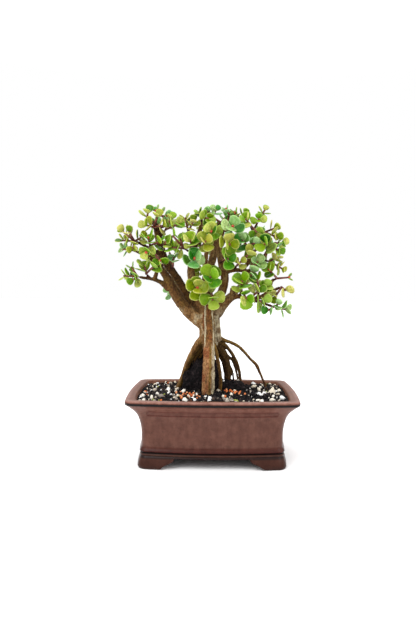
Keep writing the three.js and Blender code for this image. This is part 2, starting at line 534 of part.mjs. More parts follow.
// The way out from a shoot's axis at a turn round it.
function outwards(axis, turn) {
  const level = (Math.abs(axis.z) < 0.9 ? UP : FRONT).clone().cross(axis).normalize();
  const steep = axis.clone().cross(level);
  return level.multiplyScalar(Math.cos(turn)).addScaledVector(steep, Math.sin(turn));
}

// A leaf of a pair: turned round the shoot, lifted towards its tip and looking up it.
function leafAt({ root, axis }, turn, lift, length, owner) {
  const along = outwards(axis, turn);
  along.multiplyScalar(Math.cos(lift)).addScaledVector(axis, Math.sin(lift));
  along.addScaledVector(UP, LEAF.toLight / 2).normalize();
  const face = axis.clone().addScaledVector(UP, LEAF.toLight);
  face.addScaledVector(along, -face.dot(along)).normalize();
  const middle = root.clone().addScaledVector(along, 0.54 * length);
  return { ...disc(middle, face, 0.47 * length, LEAF.thick / 2 - 0.1, owner), root, along, face, length };
}

const LIFTS = [48, 26, 14, 6];
const SIZES = [0.98, 1.18, 1.1, 0.95];
const TURNS_TRIED = [[0, 0], [20, 0], [-20, 0], [0, 20], [35, 10], [-35, 10], [0, -20], [20, 30],
  [-20, 30], [50, 0], [-50, 0]];
const SIZES_TRIED = [1, 0.86, 0.72];

// Tries one leaf in each way until it is clear. A leaf with no room is left out.
function growLeaf(seat, turn, lift, length, owner) {
  for (const size of SIZES_TRIED) {
    for (const [moreTurn, moreLift] of TURNS_TRIED) {
      const turned = THREE.MathUtils.degToRad(turn + moreTurn);
      const lifted = THREE.MathUtils.degToRad(lift + moreLift);
      const leaf = leafAt(seat, turned, lifted, length * size, owner);
      if (isClear(leaf, taken)) {
        return leaf;
      }
    }
  }
  return null;
}

// The upper pairs of every shoot grow first, so that each shoot gets its best leaves.
for (let pair = 0; pair < MOST_PAIRS[0]; pair += 1) {
  sprays.forEach(({ shoots, leaves }, index) => {
    for (const shoot of shoots) {
      const { leaf, pairs, turn, owner } = shoot;
      const draw = random(1000 * index + 100 * owner.shoot + pair);
      const seat = placeDown(shoot, SHOOT.firstPair + pair * LEAF.spacing * leaf);
      for (const half of [0, 180]) {
        const [more, up, larger] = [draw(), draw(), draw()];
        if (!seat || pair >= Math.min(pairs, MOST_PAIRS[owner.shoot])) {
          continue;
        }
        const turned = turn + 90 * pair + half + 24 * (more - 0.5);
        const lifted = LIFTS[pair] + 16 * (up - 0.5);
        const length = leaf * SIZES[pair] * (0.92 + 0.16 * larger);
        const grown = growLeaf(seat, turned, lifted, length, { ...owner, pair });
        if (grown) {
          taken.push(grown);
          leaves.push(grown);
        }
      }
    }
  });
}

// A fleshy blade, widest past its middle, thick in the middle and cupped a little.
function blade({ root, along, face, length }) {
  const across = along.clone().cross(face);
  const leaf = new THREE.SphereGeometry(1, LEAF.sides, 2);
  const position = leaf.attributes.position;
  for (let i = 0; i < position.count; i += 1) {
    const pole = Math.round(position.getY(i));
    const angle = Math.atan2(position.getZ(i), position.getX(i));
    const reach = pole ? 0.5 : 0.5 + 0.5 * Math.cos(angle);
    const half = pole ? 0 : 0.5 * LEAF.round * Math.sin(angle) * (1 + LEAF.taper * Math.cos(angle));
    const rise = pole ? pole * LEAF.thick / 2 : LEAF.cup * length * reach;
    const beyond = reach > 0.01 ? LEAF.neck : LEAF.start;
    const point = root.clone().addScaledVector(along, (length - LEAF.neck) * reach + beyond);
    point.addScaledVector(across, length * half).addScaledVector(face, rise);
    position.setXYZ(i, point.x, point.y, point.z);
  }
  return leaf;
}

// A square stem, with its edges towards the leaves.
function stem({ fork, tip, turn, owner }, start) {
  const edge = outwards(tip.clone().sub(fork).normalize(), THREE.MathUtils.degToRad(turn));
  const base = owner.shoot ? [] : [[...start, SHOOT.base]];
  return solid(bent([...base, [...fork, SHOOT.base], [...tip, SHOOT.tip]], SHOOT.sides, edge));
}

const GREENS = [0x5d8a3a, 0x7fa050, 0x4c7a4a, 0x9db35e];
const leafSkins = GREENS.map((color) => new THREE.MeshStandardMaterial({ color, roughness: 0.4 }));
// These four are too slight for solids of their own, but the other sprays leave them their room.
const TOO_SLIGHT = ['left_twig', 'left_gap', 'red_tip', 'centre_bluish'];
sprays.forEach(({ spray, start, shoots, leaves }, index) => {
  if (TOO_SLIGHT.includes(spray)) {
    return;
  }
  const stems = shoots.map((shoot) => stem(shoot, start));
  const blades = leaves.map((leaf) => solid(blade(leaf)));
  const whole = joined([...stems, ...blades]);
  place(`spray_${spray}`, geometryOf(whole), leafSkins[index % GREENS.length]);
});

export default bonsai;
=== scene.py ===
# A dwarf jade bonsai in a glazed stoneware pot, put together from the pot up. Shapes are laid out
# in millimetres round the middle of the pot, with heights that start at the widest line of its
# feet. Each finished piece is then moved by STAND and brought to metres, where the frame has it.
import math

import bmesh
import bpy
from mathutils import Euler, Matrix, Vector, geometry, kdtree, noise


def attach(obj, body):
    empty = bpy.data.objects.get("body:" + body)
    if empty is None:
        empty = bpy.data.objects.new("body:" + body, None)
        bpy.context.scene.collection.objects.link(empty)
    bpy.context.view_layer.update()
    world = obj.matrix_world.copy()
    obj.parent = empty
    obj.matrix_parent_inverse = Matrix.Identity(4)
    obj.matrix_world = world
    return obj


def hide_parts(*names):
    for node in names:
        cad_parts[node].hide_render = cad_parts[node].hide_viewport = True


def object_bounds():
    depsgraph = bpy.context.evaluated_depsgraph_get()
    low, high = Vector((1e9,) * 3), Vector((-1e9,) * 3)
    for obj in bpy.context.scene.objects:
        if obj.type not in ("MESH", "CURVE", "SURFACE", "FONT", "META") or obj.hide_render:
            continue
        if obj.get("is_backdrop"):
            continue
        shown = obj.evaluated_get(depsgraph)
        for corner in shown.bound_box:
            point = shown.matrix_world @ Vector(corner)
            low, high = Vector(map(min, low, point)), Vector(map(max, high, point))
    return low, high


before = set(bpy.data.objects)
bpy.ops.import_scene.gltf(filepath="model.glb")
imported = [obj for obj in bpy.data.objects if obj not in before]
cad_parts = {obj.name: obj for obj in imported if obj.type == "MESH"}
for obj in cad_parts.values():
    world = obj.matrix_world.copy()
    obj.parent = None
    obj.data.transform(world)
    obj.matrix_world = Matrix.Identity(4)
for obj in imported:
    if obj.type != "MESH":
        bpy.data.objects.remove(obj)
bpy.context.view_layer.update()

# ---- the pot ---------------------------------------------------------------------------------
# A rectangular bonsai pot of stoneware clay, pressed in a plaster mould, dipped in an iron glaze
# and fired. The glaze breaks pale over the rim, where a painted highlight lightens the rim top too.
# Painted shade darkens the lip's lower edge, the foot of the body, the undercut below the base
# ledge and the groove just above the feet.
MM = 0.001
STAND = Vector((9.9, -1.4, 2.8))
POT = {"length": 213, "width": 159, "height": 81, "bow_long": 5, "bow_short": 3}
FOOT = {"bottom": -2.8, "top": 10.4, "low": 31, "high": 47.5, "spread": 14}
FLOOR_TOP = 17.5
DRAIN = {"radius": 7, "x": 38}
BAND = {"low": 61, "high": 67, "half_long": 78, "half_short": 56, "deep": 0.8, "side": 0.7}
CORNER_STEPS, LONG_STEPS, SHORT_STEPS = 9, 44, 34

# Rows of [inset from the rim, height, corner radius]. The foot ring's inside and the feet are
# straight, and the others are points on a flowing line.
FOOT_ROWS = [(28.5, 11.4, 8), (28, FOOT["bottom"], 8), (17.4, FOOT["bottom"], 9.6)]
OUTSIDE_ROWS = [
    (15, -2.4, 10.6), (13.8, 0, 12), (14.8, 4.4, 11), (16.8, 10.6, 9.6), (17.7, 12.2, 9), (16.9, 13.2, 9.6),
    (16.7, 14.4, 10), (17.5, 15.3, 9.4), (18.2, 16, 9), (17, 17, 9.6), (16.3, 18.2, 10), (17.1, 20, 10),
    (18, 22.5, 10), (18.1, 28, 10), (18.1, 38, 10), (17.5, 45, 10), (16.4, 51, 10), (14.6, 57.5, 10),
    (13.2, BAND["low"], 9.8), (11.5, 64, 9.6), (9.2, BAND["high"], 9.5), (6.4, 70, 9.3), (3.4, 73, 9.1),
    (1.2, 74.8, 9.2), (0.2, 76, 9.5), (0, 77.6, 9.5), (0.2, 79.4, 9.5), (1.2, 80.6, 9.3), (3, 81, 9),
]
INSIDE_ROWS = [
    (6.5, 80.8, 8.6), (9.4, 80.5, 8.2), (11, 79.6, 8), (12, 77, 8), (14, 71.2, 8), (19, 63.5, 7),
    (23.5, 52, 6), (24.5, 22, 6), (28, FLOOR_TOP, 6),
]


def flowing(points, steps):
    """More points on a smooth line through the given ones, by the rule of Catmull and Rom."""
    ends = [points[0], *points, points[-1]]
    line = []
    for before, start, end, after in zip(ends, ends[1:], ends[2:], ends[3:]):
        for step in range(steps):
            t = step / steps
            line.append(tuple(
                0.5 * (2 * b + (c - a) * t + (2 * a - 5 * b + 4 * c - d) * t**2
                       + (3 * b - 3 * c + d - a) * t**3)
                for a, b, c, d in zip(before, start, end, after)
            ))
    return [*line, points[-1]]


def plan(inset, corner):
    """The pot's plan: a rectangle with round corners whose sides bow out, as a ring of places."""
    middle_x = POT["length"] / 2 - inset - POT["bow_short"] - corner
    middle_y = POT["width"] / 2 - inset - POT["bow_long"] - corner
    quarters = ((1, -1), (1, 1), (-1, 1), (-1, -1))
    ring = []
    for quarter, (sx, sy) in enumerate(quarters):
        for step in range(CORNER_STEPS + 1):
            angle = (quarter - 1 + step / CORNER_STEPS) * math.pi / 2
            ring.append((sx * middle_x + corner * math.cos(angle), sy * middle_y + corner * math.sin(angle)))
        long_side = quarter % 2 == 1
        steps = LONG_STEPS if long_side else SHORT_STEPS
        next_x, next_y = quarters[(quarter + 1) % 4]
        for step in range(1, steps):
            share = step / steps
            bow = 1 - (2 * share - 1) ** 2
            if long_side:
                x = (sx + (next_x - sx) * share) * middle_x
                ring.append((x, sy * (middle_y + corner + POT["bow_long"] * bow)))
            else:
                y = (sy + (next_y - sy) * share) * middle_y
                ring.append((sx * (middle_x + corner + POT["bow_short"] * bow), y))
    return ring


def only(parts, kind):
    """Those parts of what an operator made that are of one kind."""
    return [part for part in parts if isinstance(part, kind)]


def raise_wall(bm, rows):
    """Draws the plan as a ring of edges at the first row, and pulls a wall from it through the others."""
    def settle_ring(seats, row):
        inset, height, corner = row
        places = plan(inset, corner)
        for vert, seat in seats.items():
            vert.co = (*places[seat], height)

    ring = bmesh.ops.create_circle(bm, segments=len(plan(0, 9)), radius=1)["verts"]
    seats = {vert: seat for seat, vert in enumerate(ring)}
    settle_ring(seats, rows[0])
    edges = bm.edges[:]
    first = edges
    for row in rows[1:]:
        grown = bmesh.ops.extrude_edge_only(bm, edges=edges)["geom"]
        fresh = {}
        for vert in only(grown, bmesh.types.BMVert):
            fresh[vert] = next(
                seats[edge.other_vert(vert)] for edge in vert.link_edges if edge.other_vert(vert) in seats
            )
        seats = fresh
        edges = [
            edge for edge in only(grown, bmesh.types.BMEdge) if all(vert in seats for vert in edge.verts)
        ]
        settle_ring(seats, row)
    return first, edges


def foot_gap(side):
    """The gap between two feet as a bar that cuts through the foot ring. Its ends lean in as an S."""
    low = side / 2 - FOOT["spread"] - FOOT["low"]
    high = side / 2 - FOOT["spread"] - FOOT["high"]
    top, middle, below = FOOT["top"], (FOOT["top"] + FOOT["bottom"]) / 2, FOOT["bottom"] - 1
    bends = ((low, 0, below), (low, 0, middle), (high, 0, middle), (high, 0, top))
    right = geometry.interpolate_bezier(*map(Vector, bends), 12)
    left = [Vector((-point.x, 0, point.z)) for point in reversed(right)]
    bm = bmesh.new()
    face = bm.faces.new([bm.verts.new(point) for point in [*right, *left]])
    pulled = bmesh.ops.extrude_face_region(bm, geom=[face])["geom"]
    bmesh.ops.translate(bm, verts=only(pulled, bmesh.types.BMVert), vec=(0, 2 * POT["length"], 0))
    bmesh.ops.translate(bm, verts=bm.verts, vec=(0, -POT["length"], 0))
    bmesh.ops.recalc_face_normals(bm, faces=bm.faces)
    return bm


def drain_hole(x):
    """A round bar that cuts one drain hole through the floor."""
    bm, radius = bmesh.new(), DRAIN["radius"]
    bmesh.ops.create_cone(bm, cap_ends=True, segments=32, radius1=radius, radius2=radius, depth=60)
    bmesh.ops.translate(bm, verts=bm.verts, vec=(x, 0, 0))
    return bm


def as_mesh(name, bm):
    """Turns a bmesh into a mesh and lets it go."""
    shape = bpy.data.meshes.new(name)
    bm.to_mesh(shape)
    bm.free()
    return shape


def in_the_scene(name, data):
    """A new object in the scene, at the origin."""
    made = bpy.data.objects.new(name, data)
    bpy.context.scene.collection.objects.link(made)
    return made


def in_the_frame(name, bm):
    """Makes a smooth object from a bmesh, moved and scaled to where the frame has it."""
    bmesh.ops.transform(bm, matrix=Matrix.Scale(MM, 4) @ Matrix.Translation(STAND), verts=bm.verts)
    shape = as_mesh(name, bm)
    shape.shade_smooth()
    return in_the_scene(name, shape)


def settle(piece):
    """Gives a piece the mesh that its modifiers make."""
    bpy.context.view_layer.update()
    finished = piece.evaluated_get(bpy.context.evaluated_depsgraph_get())
    shape = bpy.data.meshes.new_from_object(finished)
    piece.modifiers.clear()
    piece.data = shape


def cut(piece, *tools):
    """Cuts each tool's shape out of a piece, and clears the tools away."""
    for tool in tools:
        modifier = piece.modifiers.new("cut", "BOOLEAN")
        modifier.operation = "DIFFERENCE"
        modifier.solver = "EXACT"
        modifier.object = tool
    settle(piece)
    for tool in tools:
        bpy.data.objects.remove(tool)


pot_rows = [*FOOT_ROWS, *flowing(OUTSIDE_ROWS, 3), *flowing(INSIDE_ROWS, 2)]
clay = bmesh.new()
under, over = raise_wall(clay, pot_rows)
bmesh.ops.edgeloop_fill(clay, edges=under)
bmesh.ops.edgeloop_fill(clay, edges=over)
bmesh.ops.recalc_face_normals(clay, faces=clay.faces)

# The walls carry a shallow panel near the top, sunk between two lines.
for along, across, half, out in ((0, 1, BAND["half_long"], 60), (1, 0, BAND["half_short"], 80)):
    for side in (-1, 1):
        panel = []
        for face in clay.faces:
            middle = face.calc_center_median()
            level = BAND["low"] < middle.z < BAND["high"]
            if level and abs(middle[along]) < half and out < side * middle[across]:
                panel.append(face)
        bmesh.ops.inset_region(
            clay, faces=panel, thickness=BAND["side"], depth=-BAND["deep"], use_even_offset=True,
            use_boundary=True,
        )

# Only the outer faces carry the colours by height, with their painted shade lines, and the panel's
# lines, so each point knows whether it faces inwards.
clay.normal_update()
inside = clay.verts.layers.float.new("inside")
for vert in clay.verts:
    outwards = vert.normal.x * vert.co.x + vert.normal.y * vert.co.y
    vert[inside] = float(outwards < 0 and vert.co.z > FLOOR_TOP)

pot = in_the_frame("pot_shell", clay)
cutters = [foot_gap(POT["length"]), foot_gap(POT["width"]), drain_hole(-DRAIN["x"]), drain_hole(DRAIN["x"])]
quarter_turn = Matrix.Rotation(math.pi / 2, 3, "Z")
bmesh.ops.rotate(cutters[1], verts=cutters[1].verts, cent=(0, 0, 0), matrix=quarter_turn)
cut(pot, *[in_the_frame("cutter", cutter) for cutter in cutters])
pot.data.shade_smooth()
pot.data.set_sharp_from_angle(angle=math.radians(38))


def colour(code):
    """An sRGB hex colour as the linear colour that a shader takes."""
    parts = [int(code[i:i + 2], 16) / 255 for i in (1, 3, 5)]
    return (*(part / 12.92 if part <= 0.04045 else ((part + 0.055) / 1.055) ** 2.4 for part in parts), 1)


def feed(node, inputs):
    """Gives each input of a node its value, or links it to another node's output."""
    for socket, value in dict(inputs).items():
        if isinstance(value, bpy.types.NodeSocket):
            node.id_data.links.new(value, node.inputs[socket])
        else:
            node.inputs[socket].default_value = value


def new_material(name, settings):
    """A material and its main shader, with the settings that are the same all over."""
    material = bpy.data.materials.new(name)
    material.use_nodes = True
    shader = material.node_tree.nodes["Principled BSDF"]
    feed(shader, settings)
    return material, shader


def add(material, kind, inputs=(), out=0, stops=(), **settings):
    """Adds a node with its settings, its inputs and the stops of its ramp, and gives back one output."""
    made = material.node_tree.nodes.new("ShaderNode" + kind)
    for name, value in settings.items():
        setattr(made, name, value)
    feed(made, inputs)
    for number, (place, shade) in enumerate(stops):
        elements = made.color_ramp.elements
        stop = elements[number] if number < 2 else elements.new(place)
        stop.position = place
        stop.color = colour(shade)
    return made.outputs[out]


def clouds(material, size, detail, roughness=0.5, steep=1):
    """Noise with patches about as large as size. A steep under 1 draws them out upwards."""
    place = add(material, "TexCoord", out="Object")
    drawn = add(material, "Mapping", {"Vector": place, "Scale": (1, 1, steep)})
    return add(material, "TexNoise", {
        "Vector": drawn, "Scale": 1 / size, "Detail": detail, "Roughness": roughness,
    })


def attribute(material, name, out="Fac"):
    """What a piece's points carry under a name."""
    return add(material, "Attribute", out=out, attribute_name=name)


def reckon(material, operation, *inputs, **settings):
    """One step of arithmetic with values and outputs."""
    return add(material, "Math", enumerate(inputs), operation=operation, **settings)


def spread(material, source, low, high, least, most):
    """A source's run from low to high, spread evenly from least to most."""
    return add(material, "MapRange", {0: source, 1: low, 2: high, 3: least, 4: most})


def shade_by(material, source, *stops):
    """The colours of a ramp, as pairs of place and sRGB code, picked by a source."""
    return add(material, "ValToRGB", {0: source}, stops=stops)


def merge(material, share, one, other, way="MULTIPLY"):
    """Two colours worked into one, the other by its share."""
    return add(material, "Mix", {0: share, 6: one, 7: other}, 2, data_type="RGBA", blend_type=way)


def emboss(material, height, strength, deep):
    """A low relief that follows a source, as deep as given in metres."""
    return add(material, "Bump", {"Height": height, "Strength": strength, "Distance": deep})


# Iron glaze on stoneware, dipped and fired: brown with darker blotches and fine pinholes, half
# glossy. Each colour stands at the height in millimetres where the colour turns to it. Some of them
# are painted light: the near black on the lip's lower edge and below the base ledge, and the darker
# foot of the body and groove just above the feet, are painted shade, and the pale rim top is partly
# a painted highlight.
GLAZE_WITH_PAINTED_LIGHT_BY_HEIGHT = [
    (0, "#3b2018"), (8.6, "#48291f"), (10.2, "#2b1610"), (12.2, "#25120e"), (13.2, "#50342a"),
    (14.8, "#42271e"), (15.4, "#080404"), (16.6, "#080404"), (17.4, "#441712"), (19.2, "#4a221a"),
    (21.5, "#4e281f"), (24.5, "#613f34"), (34, "#654136"), (56, "#69453a"), (66, "#6f4b40"), (72, "#7f574c"),
    (74.6, "#6c4439"), (75.6, "#060404"), (77.6, "#060404"), (78.6, "#6a4238"), (79.8, "#9a7164"),
    (81, "#9a756b"),
]
BLOTCH, RUN, PINHOLE = 9 * MM, 5 * MM, 0.9 * MM
WOBBLE = 0.9 * MM
glaze, glaze_skin = new_material(
    "iron_glaze", {"IOR": 1.5, "Specular IOR Level": 0.14, "Coat Weight": 0.03, "Coat Roughness": 0.12}
)
blotches = clouds(glaze, BLOTCH, 4, 0.6)
pinholes = clouds(glaze, PINHOLE, 2)
runs = clouds(glaze, RUN, 3, steep=0.22)
where = add(glaze, "TexCoord", out="Object")
along_x, along_y, up = (add(glaze, "SeparateXYZ", {0: where}, axis) for axis in "XYZ")
wobble = reckon(glaze, "MULTIPLY_ADD", blotches, WOBBLE, -WOBBLE / 2 - STAND.z * MM)
share = reckon(glaze, "DIVIDE", reckon(glaze, "ADD", up, wobble), POT["height"] * MM)
by_height = shade_by(glaze, share, *((level / POT["height"], shade) for level, shade in GLAZE_WITH_PAINTED_LIGHT_BY_HEIGHT))
# the panel's two dark red lines and the redder band between them, left out at the corners
line_low = (BAND["low"] + 0.2) / POT["height"]
line_high = (BAND["high"] + 0.2) / POT["height"]
soft_edge = 1.1 / POT["height"]
lines = shade_by(
    glaze, share, (line_low - soft_edge, "#000000"), (line_low, "#e8e8e8"), (line_low + soft_edge, "#8a8a8a"),
    (line_high - soft_edge, "#8a8a8a"), (line_high, "#e8e8e8"), (line_high + soft_edge, "#000000"),
)
past_panel = []
for axis, middle, half in ((along_x, STAND.x, BAND["half_long"]), (along_y, STAND.y, BAND["half_short"])):
    off_middle = reckon(glaze, "ABSOLUTE", reckon(glaze, "ADD", axis, -middle * MM))
    past_panel.append(reckon(glaze, "GREATER_THAN", off_middle, half * MM))
beside = reckon(glaze, "SUBTRACT", 0.85, reckon(glaze, "MULTIPLY", *past_panel), use_clamp=True)
with_lines = merge(glaze, reckon(glaze, "MULTIPLY", lines, beside), by_height, colour("#561a13"), "MIX")
inner_or_outer = merge(glaze, attribute(glaze, "inside"), with_lines, colour("#7d5340"), "MIX")
mottled = merge(glaze, 0.9, inner_or_outer, shade_by(glaze, blotches, (0.3, "#cbbdb8"), (0.7, "#ffffff")))
streaked = merge(glaze, 0.8, mottled, shade_by(glaze, runs, (0.35, "#e6dfdc"), (0.65, "#ffffff")))
feed(glaze_skin, {
    "Base Color": merge(glaze, 0.8, streaked, shade_by(glaze, pinholes, (0.28, "#7d6f6b"), (0.4, "#ffffff"))),
    "Roughness": spread(glaze, blotches, 0, 1, 0.24, 0.46),
    "Normal": emboss(glaze, reckon(glaze, "ADD", blotches, pinholes), 0.12, 0.4 * MM),
})


def dress(piece, material, slot, *nodes):
    """Paints a piece, lets it ride with the plant, and hides the frame's nodes that it stands for."""
    piece.data.materials.clear()
    piece.data.materials.append(material)
    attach(piece, "root")
    if nodes:
        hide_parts(*nodes)


feet = [f"pot_foot_{end}_{side}" for end in ("front", "back") for side in ("left", "right")]
dress(pot, glaze, "pot_glaze", "pot", *feet)

# ---- the drain screens -----------------------------------------------------------------------
# Two squares of black polypropylene mesh, moulded as a grid, laid over the drain holes so that
# the mix stays in. They show only from below.
screen_plastic, screen_skin = new_material("black_polypropylene", {"Roughness": 0.55, "IOR": 1.49})
grime = clouds(screen_plastic, 4 * MM, 4)
feed(screen_skin, {
    "Base Color": shade_by(screen_plastic, grime, (0.4, "#1b1c1e"), (0.75, "#3a332d")),
    "Normal": emboss(screen_plastic, grime, 0.2, 0.2 * MM),
})
for side in ("left", "right"):
    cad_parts["drain_screen_" + side].material_slots[0].material = screen_plastic

# ---- the soil --------------------------------------------------------------------------------
# Black bonsai mix of composted bark and peat, with perlite, broken clay and a little moss worked
# in. The old root ball stands up between the stilt roots as a crumbly heap.
SOIL_TOP = 77
BED = {"inset": 12.6, "corner": 8, "across": 150, "deep": 112}
BED_SKIRT = [(13, 75.2), (14.6, 71.2), (19.6, 63.4), (24.1, 52), (25.1, 22.3), (28.6, 18.9)]
HEAPS = [(-14.5, 27, 70, 25, 23, 52), (20, 28, 68, 25, 17, 20)]
FULLNESS, BLUNTNESS = 0.45, 0.25  # how much a heap widens near its top, and how flat that top is
CLOD, CRUMB = 9, 2.6


def soil_height(x, y):
    """The gently uneven height of the bed."""
    return SOIL_TOP + 0.9 * math.sin(x / 11 + 1) + 0.8 * math.cos(y / 9 + x / 25)


def roughness(point, size, seed=0):
    """Even noise from about -1 to 1 whose lumps are about as large as size."""
    return noise.noise(Vector(point) / size + Vector((seed, 2.3 * seed, -seed)))


def random_numbers(seed):
    """Even numbers from 0 to 1 that are the same each time for one seed."""
    whole = 0xFFFFFFFF
    state = seed & whole

    def draw():
        nonlocal state
        state = (state + 0x6D2B79F5) & whole
        mixed = ((state ^ (state >> 15)) * (state | 1)) & whole
        mixed ^= (mixed + (((mixed ^ (mixed >> 7)) * (mixed | 61)) & whole)) & whole
        return ((mixed ^ (mixed >> 14)) & whole) / (whole + 1)
    return draw


half_x = POT["length"] / 2 - BED["inset"]
half_y = POT["width"] / 2 - BED["inset"]
mix = bmesh.new()
bmesh.ops.create_grid(mix, x_segments=BED["across"], y_segments=BED["deep"], size=1)
for vert in mix.verts:
    u, v = vert.co.x, vert.co.y
    y = v * (half_y - POT["bow_long"] * u * u)
    round_from = half_y - POT["bow_long"] - BED["corner"]
    into_corner = min(max((abs(y) - round_from) / BED["corner"], 0), 1)
    drawn_in = BED["corner"] * (1 - math.sqrt(1 - into_corner**2))
    x = u * (half_x - POT["bow_short"] * v * v - drawn_in)
    crumbs = 1.1 * roughness((x, y, 0), CRUMB) + 1.2 * roughness((x, y, 9), CLOD)
    vert.co = (x, y, soil_height(x, y) + crumbs - 0.6)
inset, edges = BED["inset"], [edge for edge in mix.edges if edge.is_boundary]
for next_inset, height in BED_SKIRT:
    grown = bmesh.ops.extrude_edge_only(mix, edges=edges)["geom"]
    ring = only(grown, bmesh.types.BMVert)
    narrower = ((POT["length"] / 2 - next_inset) / (POT["length"] / 2 - inset),
                (POT["width"] / 2 - next_inset) / (POT["width"] / 2 - inset), 1)
    bmesh.ops.scale(mix, verts=ring, vec=narrower)
    for vert in ring:
        vert.co.z = height
    edges = [edge for edge in only(grown, bmesh.types.BMEdge) if edge.is_boundary]
    inset = next_inset
bmesh.ops.edgeloop_fill(mix, edges=edges)
for number, (x, y, z, wide, deep, high) in enumerate(HEAPS):
    heap = bmesh.ops.create_icosphere(mix, subdivisions=6 - number, radius=1)["verts"]
    for vert in heap:
        a, b, c = vert.co
        swell = 1 + 0.05 * math.sin(7 * a + 3 * c) + 0.05 * math.sin(9 * b - 5 * c)
        full = 1 + FULLNESS * max(c, 0) ** 2
        spot = Vector((wide * a * full, deep * b * full, high * c))
        crumbs = 1.6 * roughness(spot, CRUMB, 3) + 2.4 * roughness(spot, CLOD, 5)
        vert.co = Vector((x, y, z)) + spot * swell + vert.co * crumbs
bmesh.ops.recalc_face_normals(mix, faces=mix.faces)

# Composted bark and peat, wet: nearly black with brown and purple crumbs, and no gloss.
wet_mix, wet_mix_skin = new_material("wet_bark_mix", {"Roughness": 0.9, "Specular IOR Level": 0.15})
where = add(wet_mix, "TexCoord", out="Object")
crumbs = add(wet_mix, "TexVoronoi", {"Vector": where, "Scale": 1 / (2.2 * MM)}, "Color")
clods = clouds(wet_mix, 7 * MM, 6, 0.75)
crumb_shade = shade_by(
    wet_mix, crumbs, (0.2, "#0a0809"), (0.55, "#1a1516"), (0.8, "#2b2325"), (0.97, "#453a39")
)
clod_shade = shade_by(wet_mix, clods, (0.35, "#6a6266"), (0.7, "#ffffff"))
feed(wet_mix_skin, {
    "Base Color": merge(wet_mix, 1, crumb_shade, clod_shade),
    "Normal": emboss(wet_mix, clods, 0.7, 0.8 * MM),
})
bed = in_the_frame("soil_bed", mix)
dress(bed, wet_mix, "potting_mix", "soil")


def ground(x, y):
    """The height of the soil or of the heap above it."""
    heights = [soil_height(x, y)]
    for middle_x, middle_y, z, wide, deep, high in HEAPS:
        out = ((x - middle_x) / wide) ** 2 + ((y - middle_y) / deep) ** 2
        if out < 1:
            heights.append(z + high * (1 - out) ** BLUNTNESS)
    return max(heights)


def add_lump(bm, place, size, draw, layer, shape=(8, 6), rough=0.3):
    """An uneven stone of a few dozen faces that lies any way up."""
    stone = bmesh.ops.create_uvsphere(bm, u_segments=shape[0], v_segments=shape[1], radius=1)["verts"]
    seed = 40 * draw()
    turn = Euler((6 * draw(), 6 * draw(), 6 * draw())).to_matrix()
    stretch = Vector((0.85 + 0.55 * draw(), 0.6 + 0.35 * draw(), 0.5 + 0.3 * draw()))
    tone = draw()
    for vert in stone:
        swell = 1 + rough * roughness(vert.co, 0.7, seed)
        vert.co = Vector(place) + turn @ (vert.co * stretch) * size * swell
        vert[layer] = tone


# What is scattered on the bed: how many, least and most radius, how far sunk, and the share
# that lies towards the front and the rim, away from the roots.
SCATTER = {
    "bark_crumbs": (1500, 0.8, 2.3, 0.2, 0),
    "perlite": (390, 1.2, 3.7, 0.3, 0.8),
    "clay_bits": (64, 1.3, 2.6, -0.1, 0),
    "moss_bits": (12, 1, 1.9, 0, 0.3),
}
# The grains that stand out, as x, y and radius, and the two spots where most of the clay lies.
LARGEST = {
    "perlite": [
        (76, -6, 7), (83, -15, 3), (-38, 3, 3.9), (34, 32, 3), (29, 12, 3), (-86, -30, 3.4), (-63, -38, 4),
        (-33, -52, 4.1), (-21, -50, 3.5), (-3, -47, 3.9), (22, -54, 3), (72, -47, 4), (86, -38, 3.4),
    ],
    "moss_bits": [(-71, -54, 2.6), (29, -54, 2.8), (25, -52, 2)],
}
CLAY_SPOTS = [(-33, -20, 20, 26), (28, 0, 16, 18)]
IN_SPOTS, IN_SECOND_SPOT = 0.85, 0.4  # the shares of the clay that lie in the spots
ROOT_PLATE = (46, 30)  # half the length and width of the patch round the roots
CORNER_LIMIT = 1.86  # keeps the grains out of the pot's round corners
KEPT_ON_HEAP = 0.12  # the share of the grains that stays on the steep heaps
CLUSTER = 13  # how large the patches with more and with less perlite are
BLOCK = 40  # grains shaped at a time
PERCH = 0.45  # how far above the ground a grain's middle lies before it sinks, as a share of its radius


def crowded(x, y, size, others):
    """Whether a grain would lie on one of the others."""
    return any((x - a) ** 2 + (y - b) ** 2 < (0.82 * (size + c)) ** 2 for a, b, c in others)


def sow(name, seed):
    """Places for one kind of grain, as lists of [x, y, size] that don't lie on each other."""
    count, least, most, _, outwards = SCATTER[name]
    draw = random_numbers(seed)
    places = list(LARGEST.get(name, []))
    for _ in range(count):
        x = (2 * draw() - 1) * (half_x - 3)
        y = (2 * draw() - 1) * (half_y - 4)
        size = least + (most - least) * draw() ** 1.6
        if name == "clay_bits" and draw() < IN_SPOTS:
            middle_x, middle_y, wide, deep = CLAY_SPOTS[int(draw() < IN_SECOND_SPOT)]
            x = middle_x + wide * (draw() + draw() - 1)
            y = middle_y + deep * (draw() + draw() - 1)
        corner_room = abs(x) / half_x + abs(y) / half_y
        near_root = math.exp(-((x / ROOT_PLATE[0]) ** 2) - ((y - 6) / ROOT_PLATE[1]) ** 2)
        on_heap = ground(x, y) > soil_height(x, y) + 1
        keep = 1 - outwards * near_root
        if name == "perlite":
            keep *= 0.3 + 0.7 * min(max(0.5 + 2.2 * roughness((x, y, 0), CLUSTER, 6), 0), 1)
        if on_heap and name != "bark_crumbs":
            keep *= KEPT_ON_HEAP
        clear = name == "bark_crumbs" or not crowded(x, y, size, places)
        if draw() < keep and clear and corner_room < CORNER_LIMIT:
            places.append((x, y, size))
    return places


